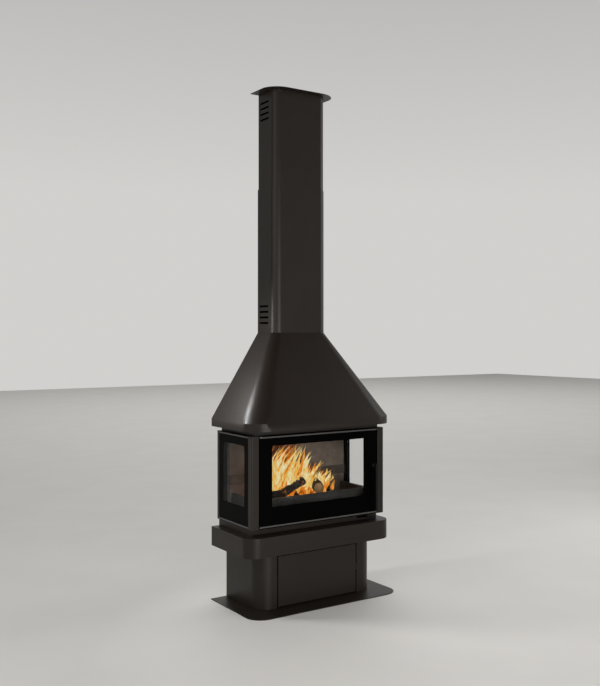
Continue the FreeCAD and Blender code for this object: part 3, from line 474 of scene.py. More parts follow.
@dataclass(frozen=True)
class GlowingCoal:
    """Coals that are ash grey outside and glow where they are hot."""

    name: str = "glowing_coal"
    ash: Colour = (0.12, 0.11, 0.1)
    coal: Colour = (0.008, 0.007, 0.006)
    glow: Colour = (1.0, 0.27, 0.035)
    heart: Colour = (1.0, 0.6, 0.14)
    glow_power: float = 2.6
    roughness: float = 0.95
    ash_scale: float = 75.0
    glow_scale: float = 31.0

    def material(self) -> bpy.types.Material:
        """Returns the coals as a new material."""
        shader = Shader(self.name)
        dust = shader.noise(self.ash_scale, detail=4.0)
        heat = shader.noise(self.glow_scale, detail=4.0, rough=0.6)
        shader.put("Base Color", shader.blended(dust, self.coal, self.ash, (0.4, 0.68)))
        shader.put("Roughness", self.roughness)
        shader.put("Emission Color", shader.ramp(heat, (0.5, BLACK), (0.63, self.glow), (0.75, self.heart)))
        shader.put("Emission Strength", self.glow_power)
        return shader.material


@dataclass(frozen=True)
class FlameLight:
    """One layer of flames, streaked along their lean from a bright heart to a dull edge."""

    name: str
    heart: Colour
    middle: Colour
    edge: Colour
    strength: float = 0.74
    lean: float = 0.55
    streak_scale: Point = (64.0, 64.0, 26.0)

    def material(self) -> bpy.types.Material:
        """Returns the flames as a new material."""
        shader = Shader(self.name)
        streaks = shader.streaks(self.streak_scale, detail=4.0, rough=0.6, turn=(0.0, self.lean, 0.0))
        shader.put("Base Color", BLACK)
        shader.put("Specular IOR Level", 0.0)
        shader.put("Roughness", 1.0)
        shader.put("Emission Color", shader.ramp(streaks, (0.36, self.heart), (0.5, self.middle),
                                                 (0.66, self.edge)))
        shader.put("Emission Strength", self.strength)
        return shader.material


@dataclass(frozen=True)
class Palette:
    """Finishes of the fireplace, each named as its slot in the record."""

    casing_paint: SatinPaint = SatinPaint(
        "anthracite_paint", light=(0.0145, 0.0104, 0.0075), dark=(0.0117, 0.0084, 0.0061),
        roughness=(0.36, 0.42), grain=0.03, shine=0.22)
    frame_black: SatinPaint = SatinPaint(
        "frame_black_paint", light=(0.0006, 0.0006, 0.0006), dark=(0.0003, 0.0003, 0.0003),
        roughness=(0.3, 0.4), grain=0.03, shine=0.02)
    # Trim grey: partly its own grey, and partly set lighter as a painted highlight along the thin strips at
    # the panes.
    trim_grey: SatinPaint = SatinPaint(
        "trim_grey_paint_and_highlight", light=(0.075, 0.07, 0.065), dark=(0.055, 0.051, 0.047),
        roughness=(0.28, 0.36), grain=0.1, shine=0.25)
    handle_black: SatinPaint = SatinPaint(
        "handle_black_paint", light=(0.004, 0.0038, 0.0036), dark=(0.0025, 0.0024, 0.0023),
        roughness=(0.28, 0.36), grain=0.1, shine=0.12)
    bare_steel: MillSteel = MillSteel("rolled_steel", light=(0.3, 0.3, 0.295), dark=(0.2, 0.2, 0.195))
    smoked_steel: SatinPaint = SatinPaint(
        "smoke_stained_paint", light=(0.075, 0.06, 0.047), dark=(0.05, 0.04, 0.032),
        roughness=(0.6, 0.75), grain=0.3, shine=0.2)
    flue_paint: SatinPaint = SatinPaint(
        "flue_black_paint", light=(0.02, 0.02, 0.02), dark=(0.012, 0.012, 0.012),
        roughness=(0.5, 0.65), grain=0.25, shine=0.3)
    hearth_iron: SootedIron = SootedIron(
        "hearth_iron", iron=(0.014, 0.0128, 0.0115), worn=(0.034, 0.031, 0.028), ash=(0.1, 0.093, 0.085))
    lining_board: LiningBoard = LiningBoard(
        "lining_board", board=(0.1, 0.078, 0.06), flake=(0.19, 0.155, 0.125), smoke=(0.04, 0.032, 0.026))
    pane: FireGlass = FireGlass("fire_glass", tint=(0.97, 0.98, 0.98))
    seal_fibre: KnittedFibre = KnittedFibre(
        "seal_fibre", light=(0.2, 0.195, 0.185), dark=(0.06, 0.058, 0.055))

    def by_slot(self) -> dict[Slot, bpy.types.Material]:
        """Returns one new material for each slot."""
        return {slot: getattr(self, slot.value).material() for slot in Slot}


def new_object(name: str, mesh: bpy.types.Mesh) -> bpy.types.Object:
    """Returns a new object with a mesh, linked to the scene."""
    piece = bpy.data.objects.new(name, mesh)
    bpy.context.scene.collection.objects.link(piece)
    return piece


def flattened(piece: bpy.types.Object) -> bpy.types.Object:
    """Turns a piece with modifiers into a plain mesh and removes the modifiers.

    Args:
        piece: The piece with its modifiers set.

    Returns:
        The same piece.
    """
    bpy.context.view_layer.update()
    graph = bpy.context.evaluated_depsgraph_get()
    made = bpy.data.meshes.new_from_object(piece.evaluated_get(graph), depsgraph=graph)
    piece.modifiers.clear()
    piece.data = made
    return piece


class Workshop:
    """Makes pieces, gives them their finish and seats them on their bodies."""

    # Bare steel that shows in a gap, coloured black there as painted shade.
    GAP_SHADE_BLACK = ("store_upper_pivot",)
    # Points nearer than this are one, flatter angles are no edge, and sharper ones are eased.
    WELD = 1e-5
    FLAT_ANGLE = math.radians(0.5)
    SHARP_ANGLE = math.radians(35)

    def __init__(self, palette: Palette) -> None:
        """Makes the materials and reads which slot and body each solid has.

        Args:
            palette: Finishes of the fireplace.
        """
        self.materials = palette.by_slot()
        record = frame["record"]
        self.slots = {row["node"]: Slot(row["material_slot"]) for row in record["subparts"]}
        self.bodies = {node: Body(body) for body, nodes in record["behaviour"]["bodies"].items()
                       for node in nodes}

    def paint_solids(self) -> None:
        """Gives every solid the finish of its slot, and colours the steel that shows in a gap black as
        painted shade.
        """
        for node, slot in self.slots.items():
            # The pivot in the gap takes the black paint as painted shade.
            finish = Slot.HANDLE_BLACK if node in self.GAP_SHADE_BLACK else slot
            mesh = frame["nodes"][node].data
            mesh.materials.clear()
            mesh.materials.append(self.materials[finish])

    def seat(self, piece: bpy.types.Object, body: Body, slot: Optional[Slot] = None) -> bpy.types.Object:
        """Seats a finished piece on its body.

        Args:
            piece: The piece, with its place in its mesh.
            body: The body that it rides on.
            slot: The record's slot of its finish, if it has one; not used.

        Returns:
            The same piece.
        """
        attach(piece, body.value)
        LOG.info("%s rides on %s", piece.name, body.value)
        return piece

    def ease(self, node: str, width: float, segments: int = PLAIN_FACES) -> bpy.types.Object:
        """Replaces a solid by a copy whose sharp edges are eased.

        Args:
            node: The solid.
            width: Width of the eased edge in metres.
            segments: Faces across the eased edge.

        Returns:
            The new piece.
        """
        mesh = bpy.data.meshes.new(f"{node}_eased")
        shape = bmesh.new()
        shape.from_mesh(frame["nodes"][node].data)
        bmesh.ops.remove_doubles(shape, verts=shape.verts, dist=self.WELD)
        bmesh.ops.dissolve_limit(shape, angle_limit=self.FLAT_ANGLE, verts=shape.verts, edges=shape.edges)
        shape.to_mesh(mesh)
        shape.free()
        mesh.shade_smooth()
        piece = new_object(f"{node}_eased", mesh)
        bevel = piece.modifiers.new("ease", "BEVEL")
        bevel.width = width
        bevel.segments = segments
        bevel.limit_method = "ANGLE"
        bevel.angle_limit = self.SHARP_ANGLE
        even = piece.modifiers.new("even", "WEIGHTED_NORMAL")
        even.keep_sharp = True
        flattened(piece)
        slot = self.slots[node]
        piece.data.materials.clear()
        piece.data.materials.append(self.materials[slot])
        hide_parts(node)
        return self.seat(piece, self.bodies[node], slot)


class GeometryTree(Nodes):
    """Geometry nodes with named inputs, the material among them."""

    def __init__(self, name: str, inputs: dict[str, str]) -> None:
        """Starts a tree with its inputs and a geometry output.

        Args:
            name: The tree's name.
            inputs: Name and kind of each input besides the geometry and the material.
        """
        super().__init__(bpy.data.node_groups.new(name, "GeometryNodeTree"))
        face = self.tree.interface
        kinds = {"Geometry": "Geometry", **inputs, "Material": "Material"}
        self.keys = {label: face.new_socket(label, in_out="INPUT", socket_type=f"NodeSocket{kind}").identifier
                     for label, kind in kinds.items()}
        face.new_socket("Geometry", in_out="OUTPUT", socket_type="NodeSocketGeometry")
        self.given = self.add("NodeGroupInput").outputs
        self.result = self.add("NodeGroupOutput").inputs[0]

    def end(self, geometry: Socket) -> None:
        """Closes the tree with real copies and the material input."""
        real = self.add("GeometryNodeRealizeInstances", {0: geometry})
        dressed = self.add("GeometryNodeSetMaterial",
                           {"Geometry": real.outputs[0], "Material": self.given["Material"]})
        self.give(self.result, dressed.outputs[0])

    def apply(self, name: str, mesh: bpy.types.Mesh, values: dict[str, object]) -> bpy.types.Object:
        """Runs the tree on a mesh.

        Args:
            name: The new piece's name.
            mesh: What the tree starts from.
            values: Value of each named input.

        Returns:
            The result as a plain piece, not yet seated.
        """
        piece = new_object(name, mesh)
        modifier = piece.modifiers.new(name, "NODES")
        modifier.node_group = self.tree
        for label, value in values.items():
            modifier[self.keys[label]] = value
        return flattened(piece)


def point_mesh(name: str, points: Iterable[Point], edges: Sequence[tuple[int, int]] = ()) -> bpy.types.Mesh:
    """Returns a mesh of loose points, joined by edges where they are given."""
    mesh = bpy.data.meshes.new(name)
    mesh.from_pydata(list(points), list(edges), [])
    return mesh


def smooth_mesh(name: str, points: list[Vector], faces: list[Face]) -> bpy.types.Mesh:
    """Makes a mesh that is shaded smooth.

    Args:
        name: The mesh's name.
        points: Its points.
        faces: Its faces, by the numbers of their points.

    Returns:
        The new mesh.
    """
    mesh = bpy.data.meshes.new(name)
    mesh.from_pydata(points, [], faces)
    mesh.shade_smooth()
    return mesh


def add_tube(faces: list[Face], first: int, rings: int, sides: int) -> None:
    """Adds the faces of a closed tube whose rings of points follow each other.

    Args:
        faces: Faces of the growing mesh.
        first: Number of the tube's first point.
        rings: Rings along the tube.
        sides: Points round each ring.
    """
    for ring in range(rings - 1):
        for side in range(sides):
            here, there = first + ring * sides + side, first + ring * sides + (side + 1) % sides
            faces.append((here, there, there + sides, here + sides))
    faces.append(tuple(first + side for side in reversed(range(sides))))
    faces.append(tuple(first + (rings - 1) * sides + side for side in range(sides)))


def spaced(start: float, end: float, count: int) -> list[float]:
    """Returns evenly spaced places from a start to an end."""
    return [start + (end - start) * step / (count - 1) for step in range(count)]


def round_angles(count: int) -> list[float]:
    """Returns evenly spaced angles round a circle."""
    return [math.tau * step / count for step in range(count)]


def corners(low: Pair, high: Pair) -> list[Pair]:
    """Returns the corners of an upright rectangle, in order."""
    return [low, (high[0], low[1]), high, (low[0], high[1])]


def rounded_path(low: Pair, high: Pair, radius: float, steps: int = 6) -> list[Pair]:
    """Returns the points of a rectangle with rounded corners, in order.

    Args:
        low: The rectangle's low corner.
        high: Its high corner.
        radius: Radius of its corners.
        steps: Stretches in each corner.

    Returns:
        The points, from the high corner on.
    """
    left, bottom = low[0] + radius, low[1] + radius
    right, top = high[0] - radius, high[1] - radius
    path = []
    for quarter, (x, z) in enumerate(((right, top), (left, top), (left, bottom), (right, bottom))):
        for step in range(steps + 1):
            angle = math.tau / 4 * (quarter + step / steps)
            path.append((x + radius * math.cos(angle), z + radius * math.sin(angle)))
    return path


class Screws:
    """Low screws with a hexagon socket, set at given points."""

    HEAD_SIDES = 20
    SOCKET_SIDES = 6
    RIM_SHARE = 0.72
    SOCKET_SHARE = 0.5
    DEPTH_SHARE = 0.5

    def __init__(self, workshop: Workshop) -> None:
        """Builds the tree of one screw on each point.

        Args:
            workshop: The workshop that seats the screws.
        """
        self.workshop = workshop
        tree = GeometryTree("domed_screws", {
            "Head Radius": "Float", "Head Height": "Float", "Turn": "Vector"})
        radius, height = tree.given["Head Radius"], tree.given["Head Height"]
        rim = tree.calculate("MULTIPLY", radius, self.RIM_SHARE)
        inner = tree.calculate("MULTIPLY", radius, self.SOCKET_SHARE)
        depth = tree.calculate("MULTIPLY", height, self.DEPTH_SHARE)
        head = tree.add("GeometryNodeMeshCone", {
            "Vertices": self.HEAD_SIDES, "Radius Top": rim, "Radius Bottom": radius, "Depth": height})
        socket = tree.add("GeometryNodeMeshCone", {
            "Vertices": self.SOCKET_SIDES, "Radius Top": inner, "Radius Bottom": inner, "Depth": depth})
        lift = tree.add("ShaderNodeCombineXYZ", {"Z": depth})
        placed = tree.add("GeometryNodeTransform",
                          {"Geometry": socket.outputs["Mesh"], "Translation": lift.outputs[0]})
        cut = tree.add("GeometryNodeMeshBoolean", {"Mesh 1": head.outputs["Mesh"],
                                                   "Mesh 2": placed.outputs[0]}, operation="DIFFERENCE")
        turned = tree.add("FunctionNodeEulerToRotation", {0: tree.given["Turn"]})
        spread = tree.add("GeometryNodeInstanceOnPoints", {
            "Points": tree.given["Geometry"], "Instance": cut.outputs["Mesh"],
            "Rotation": turned.outputs[0]})
        tree.end(spread.outputs[0])
        self.tree = tree

    def row(self, name: str, points: Iterable[Point], facing: Facing, body: Body, slot: Slot,
            size: Pair) -> None:
        """Sets one group of screws.

        Args:
            name: The piece's name.
            points: Where the heads sit.
            facing: Where the heads look.
            body: The body that they ride on.
            slot: The slot of their finish.
            size: Radius and height of a head.
        """
        radius, height = size
        piece = self.tree.apply(name, point_mesh(name, points), {
            "Head Radius": radius, "Head Height": height, "Turn": facing.value,
            "Material": self.workshop.materials[slot]})
        self.workshop.seat(piece, body, slot)


@dataclass
class Pedestal:
    """Floor plate and log store with its door."""

    workshop: Workshop
    screws: Screws
    sheet_edge: float = 0.0009
    plate_edge: float = 0.0012
    screw_size: Pair = (0.0045, 0.002)
    screw_rows: int = 4
    screw_inset: float = 0.012
    screw_sunk: float = 0.0018

    def build(self) -> None:
        """Eases the sheets and screws the back panel to its lips."""
        self.workshop.ease("floor_plate", self.plate_edge)
        for node in ("pedestal_casing", "store_door"):
            self.workshop.ease(node, self.sheet_edge)
        low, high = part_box("pedestal_back_panel")
        _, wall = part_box("pedestal_casing")
        inset = self.screw_inset
        points = [(x, wall.y - self.screw_sunk, z) for x in (low.x + inset, high.x - inset)
                  for z in spaced(low.z + inset, high.z - inset, self.screw_rows)]
        self.screws.row("pedestal_panel_screws", points, Facing.BACK, Body.FIREPLACE, Slot.BARE_STEEL,
                        self.screw_size)


@dataclass
class ShelfBand:
    """Shelf band, the recessed plinth on it and the tab of the air control."""

    workshop: Workshop
    band_edge: float = 0.0018
    plinth_edge: float = 0.0009
    tab_edge: float = 0.0006

    def build(self) -> None:
        """Eases the band, the plinth and the air lever."""
        self.workshop.ease("shelf_band", self.band_edge, ROUND_FACES)
        self.workshop.ease("plinth_frame", self.plinth_edge)
        self.workshop.ease("air_lever", self.tab_edge)


@dataclass
class Firebox:
    """Posts, plates, windows and hearth of the firebox."""

    workshop: Workshop
    screws: Screws
    post_edge: float = 0.0011
    plate_edge: float = 0.0008
    fence_edge: float = 0.0015
    iron_edge: float = 0.0022
    screw_size: Pair = (0.0045, 0.002)
    screw_columns: int = 5
    screw_inset: Pair = (0.018, 0.012)

    def build(self) -> None:
        """Eases the shell and the hearth, and screws on the heat shield."""
        for side in ("left", "right"):
            self.workshop.ease(f"corner_post_{side}", self.post_edge)
            self.workshop.ease(f"rear_post_{side}", self.post_edge)
            self.workshop.ease(f"side_frame_{side}", self.plate_edge)
        for node in ("firebox_floor", "firebox_top", "firebox_front_frame"):
            self.workshop.ease(node, self.plate_edge)
        self.workshop.ease("log_fence", self.fence_edge, ROUND_FACES)
        for node in ("hearth_plate", "fire_grate"):
            self.workshop.ease(node, self.iron_edge, ROUND_FACES)
        low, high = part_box("rear_heat_shield")
        side, end = self.screw_inset
        points = [(x, high.y, z) for x in spaced(low.x + side, high.x - side, self.screw_columns)
                  for z in (low.z + end, high.z - end)]
        self.screws.row("heat_shield_screws", points, Facing.BACK, Body.FIREPLACE, Slot.BARE_STEEL,
                        self.screw_size)


@dataclass
class FireDoor:
    """Frame of the glazed fire door, and its handle."""

    workshop: Workshop
    frame_edge: float = 0.0015
    handle_edge: float = 0.0008

    def build(self) -> None:
        """Eases the door's frame, handle and rose."""
        self.workshop.ease("door_frame", self.frame_edge)
        for node in ("door_handle", "handle_rose"):
            self.workshop.ease(node, self.handle_edge)


@dataclass
class PrintedBorders:
    """Black borders printed on the panes, which hide the frames and the sealing tape behind them."""

    workshop: Workshop
    window_half: float = 0.29
    window_low: float = 0.535
    window_high: float = 0.848
    side_front: float = -0.061
    side_back: float = 0.188
    film: float = 0.0002

    def build(self) -> None:
        """Prints the border of the door and of both side windows."""
        low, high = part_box("door_glass")
        window = corners((-self.window_half, self.window_low), (self.window_half, self.window_high))
        rings = [[(x, low.y, z) for x, z in ring]
                 for ring in (corners((low.x, low.z), (high.x, high.z)), window)]
        self.border("door_glass_print", rings, Vector((0.0, -self.film, 0.0)), Body.FIRE_DOOR)
        window = corners((self.side_front, self.window_low), (self.side_back, self.window_high))
        for side, name in ((-1, "left"), (1, "right")):
            low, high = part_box(f"side_glass_{name}")
            x = low.x if side < 0 else high.x
            rings = [[(x, y, z) for y, z in ring]
                     for ring in (corners((low.y, low.z), (high.y, high.z)), window)]
            self.border(f"side_glass_print_{name}", rings, Vector((side * self.film, 0.0, 0.0)),
                        Body.FIREPLACE)

    def border(self, name: str, rings: list[list[Point]], rise: Vector, body: Body) -> None:
        """Adds one flat closed ring on a pane.

        Args:
            name: The piece's name.
            rings: Corners of the pane, and corners of its clear window.
            rise: Thickness of the print, away from the pane.
            body: The body that it rides on.
        """
        shape = bmesh.new()
        (outer, inner), (outer_top, inner_top) = [
            [[shape.verts.new(Vector(point) + lift) for point in ring] for ring in rings]
            for lift in (Vector(), rise)]
        walls = (outer, inner), (outer_top, inner_top), (outer, outer_top), (inner, inner_top)
        count = len(outer)
        for here in range(count):
            there = (here + 1) % count
            for ring, other in walls:
                shape.faces.new((ring[here], ring[there], other[there], other[here]))
        bmesh.ops.recalc_face_normals(shape, faces=shape.faces)
        mesh = bpy.data.meshes.new(name)
        shape.to_mesh(mesh)
        shape.free()
        mesh.materials.append(self.workshop.materials[Slot.FRAME_BLACK])
        self.workshop.seat(new_object(name, mesh), body, Slot.FRAME_BLACK)


@dataclass
class RopeSeal:
    """Twisted rope that seals the fire door, pressed flat between the door and the front frame."""

    workshop: Workshop
    strands: int = 3
    strand_sides: int = 8
    strand_radius: float = 0.0029
    twist_radius: float = 0.0031
    turn_length: float = 0.022
    path_step: float = 0.0035
    path_inset: float = 0.006
    corner: float = 0.012
    flatness: float = 0.48

    def tree(self) -> GeometryTree:
        """Returns the tree that winds the strands round a path and presses them flat."""
        tree = GeometryTree("twisted_rope", {
            "Strand Radius": "Float", "Twist Radius": "Float", "Turn Length": "Float", "Middle": "Float",
            "Flatness": "Float"})
        path = tree.add("GeometryNodeMeshToCurve", {0: tree.given["Geometry"]})
        fine = tree.add("GeometryNodeResampleCurve", {"Curve": path.outputs[0], "Length": self.path_step},
                        mode="LENGTH")
        along = tree.add("GeometryNodeSplineParameter").outputs["Length"]
        turns = tree.calculate("DIVIDE", along, tree.given["Turn Length"])
        angle = tree.calculate("MULTIPLY", turns, math.tau)
        side = tree.add("GeometryNodeInputNormal").outputs[0]
        tangent = tree.add("GeometryNodeInputTangent").outputs[0]
        across = tree.add("ShaderNodeVectorMath", {0: tangent, 1: side}, operation="CROSS_PRODUCT").outputs[0]
        ring = tree.add("GeometryNodeCurvePrimitiveCircle",
                        {"Resolution": self.strand_sides, "Radius": tree.given["Strand Radius"]})
        joined = tree.add("GeometryNodeJoinGeometry")
        for start in round_angles(self.strands):
            phase = tree.calculate("ADD", angle, start)
            parts = []
            for wave, direction in (("COSINE", side), ("SINE", across)):
                reach = tree.calculate("MULTIPLY", tree.calculate(wave, phase), tree.given["Twist Radius"])
                parts.append(tree.add("ShaderNodeVectorMath", {0: direction, "Scale": reach},
                                      operation="SCALE").outputs[0])
            offset = tree.add("ShaderNodeVectorMath", dict(enumerate(parts)), operation="ADD")
            wound = tree.add("GeometryNodeSetPosition",
                             {"Geometry": fine.outputs[0], "Offset": offset.outputs[0]})
            strand = tree.add("GeometryNodeCurveToMesh",
                              {"Curve": wound.outputs[0], "Profile Curve": ring.outputs[0]})
            tree.give(joined.inputs[0], strand.outputs[0])
        middle = tree.given["Middle"]
        position = tree.add("GeometryNodeInputPosition").outputs[0]
        split = tree.add("ShaderNodeSeparateXYZ", {0: position}).outputs
        out = tree.calculate("SUBTRACT", split["Y"], middle)
        pressed = tree.calculate("MULTIPLY_ADD", out, tree.given["Flatness"], middle)
        place = tree.add("ShaderNodeCombineXYZ", {"X": split["X"], "Y": pressed, "Z": split["Z"]})
        flat = tree.add("GeometryNodeSetPosition",
                        {"Geometry": joined.outputs[0], "Position": place.outputs[0]})
        tree.end(flat.outputs[0])
        return tree

    def build(self) -> None:
        """Winds the rope along the middle of the plain seal and replaces it."""
        low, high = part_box("door_rope_seal")
        inset = self.path_inset
        middle = (low.y + high.y) / 2
        points = [(x, middle, z) for x, z in rounded_path(
            (low.x + inset, low.z + inset), (high.x - inset, high.z - inset), self.corner)]
        edges = [(index, (index + 1) % len(points)) for index in range(len(points))]
        piece = self.tree().apply("door_rope_twisted", point_mesh("rope_path", points, edges), {
            "Strand Radius": self.strand_radius, "Twist Radius": self.twist_radius,
            "Turn Length": self.turn_length, "Middle": middle, "Flatness": self.flatness,
            "Material": self.workshop.materials[Slot.SEAL_FIBRE]})
        piece.data.shade_smooth()
        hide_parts("door_rope_seal")
        self.workshop.seat(piece, Body.FIRE_DOOR, Slot.SEAL_FIBRE)


@dataclass
class HoodAndCasing:
    """Neck, hood, both lengths of casing and the ceiling plate."""

    workshop: Workshop
    screws: Screws
    sheet_edge: float = 0.0009
    screw_size: Pair = (0.0055, 0.0024)
    screw_inset: Pair = (0.022, 0.03)
    screw_pitch: float = 0.09

    def build(self) -> None:
        """Eases the sheets and screws the ceiling plate on."""
        for node in ("hood", "hood_neck", "lower_casing", "upper_casing", "ceiling_plate"):
            self.workshop.ease(node, self.sheet_edge)
        low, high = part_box("ceiling_plate")
        across, back = high.x - self.screw_inset[0], high.y - self.screw_inset[1]
        points = [(side * across, back - step * self.screw_pitch, low.z)
                  for side in (-1, 1) for step in (0, 1)]
        self.screws.row("ceiling_plate_screws", points, Facing.DOWN, Body.SLIDING_CASING,
                        Slot.CASING_PAINT, self.screw_size)


@dataclass(frozen=True)
class Log:
    """One rough split log that lies between two points over the hearth."""

    name: str
    start: Point
    end: Point
    radius: float
    rings: int = 34
    sides: int = 28
    girth_scale: float = 1.3
    length_scale: float = 9.0
    seed_step: float = 7.0
    swell_share: float = 0.2
    knot_scale: float = 4.0
    knot_share: float = 0.1
    split_reach: float = 0.55
    split_share: float = 0.86
    sawn_share: float = 0.93
    sawn_rise: float = 0.0015
    sharp_angle: float = 50.0

    def meshes(self, floor: float, seed: int) -> list[bpy.types.Mesh]:
        """Makes the log and the sawn faces on its two ends.

        Args:
            floor: Height of the hearth.
            seed: Place in the noise, so that no two logs are alike.

        Returns:
            The closed log, and its two thin end slices as one mesh.
        """
        start, end = (Vector(point) + Vector((0.0, 0.0, floor)) for point in (self.start, self.end))
        axis = end - start
        turn = axis.to_track_quat("Z", "Y")
        points: list[Vector] = []
        for along in spaced(0.0, axis.length, self.rings):
            for angle in round_angles(self.sides):
                way = Vector((math.cos(angle), math.sin(angle), 0.0))
                shift = Vector((seed * self.seed_step, 0.0, along * self.length_scale))
                spot = way * self.girth_scale + shift
                swell = self.swell_share * noise.noise(spot)
                knots = self.knot_share * noise.noise(spot * self.knot_scale)
                split = self.split_share if math.cos(angle - seed) > self.split_reach else 1.0
                local = way * self.radius * (1.0 + swell + knots) * split
                points.append(start + turn @ (local + Vector((0.0, 0.0, along))))
        faces: list[Face] = []
        add_tube(faces, 0, self.rings, self.sides)
        slices: list[Vector] = []
        slice_faces: list[Face] = []
        rise = axis.normalized() * self.sawn_rise
        for middle, rim in ((start, points[:self.sides]), (end, points[-self.sides:])):
            add_tube(slice_faces, len(slices), 2, self.sides)
            slices += [middle + (point - middle) * self.sawn_share + step
                       for step in (-rise, rise) for point in rim]
        meshes = [smooth_mesh(self.name, points, faces),
                  smooth_mesh(f"{self.name}_ends", slices, slice_faces)]
        for mesh in meshes:
            mesh.set_sharp_from_angle(angle=math.radians(self.sharp_angle))
        return meshes


@dataclass(frozen=True)
class Tongue:
    """Form that all tongues of flame share: flat, bent to one side and slightly twisted."""

    rings: int = 14
    sides: int = 7
    most_turn: float = 0.6
    sway: Pair = (0.006, 0.024)
    belly_power: float = 0.7
    round_power: float = 0.9
    tip_share: float = 0.03
    lean_power: float = 1.3
    side_waves: float = 6.0
    depth_waves: float = 5.0
    flat_share: float = 0.4
    twist: float = 0.8

    def add(self, points: list[Vector], faces: list[Face], foot: Vector, height: float, lean: float,
            width: float, dice: random.Random) -> None:
        """Adds one closed tongue to a growing mesh.

        Args:
            points: Points of the mesh.
            faces: Faces of the mesh.
            foot: Foot of the tongue.
            height: Its height.
            lean: How far its tip lies to the right of its foot.
            width: Its widest radius.
            dice: Source of its turn and sway.
        """
        first = len(points)
        turn = dice.uniform(-self.most_turn, self.most_turn)
        sway, phase = dice.uniform(*self.sway), dice.uniform(0.0, math.tau)
        for t in spaced(0.0, 1.0, self.rings):
            belly = math.sin(math.pi * t ** self.belly_power) ** self.round_power
            radius = width * max(belly, self.tip_share)
            middle = foot + Vector((
                lean * t ** self.lean_power + sway * t * math.sin(phase + self.side_waves * t),
                sway * t * math.cos(phase + self.depth_waves * t), height * t))
            for angle in round_angles(self.sides):
                flat = Vector((radius * math.cos(angle), radius * self.flat_share * math.sin(angle), 0.0))
                flat.rotate(Euler((0.0, 0.0, turn + self.twist * t)))
                points.append(middle + flat)
        add_tube(faces, first, self.rings, self.sides)


@dataclass(frozen=True)
class FlameLayer:
    """One depth of flames: colours, number of tongues, reach of the tallest, and spans of the rest."""

    light: FlameLight
    count: int
    reach: float
    width: Pair
    depth: Pair
    lift: Pair = (0.01, 0.05)


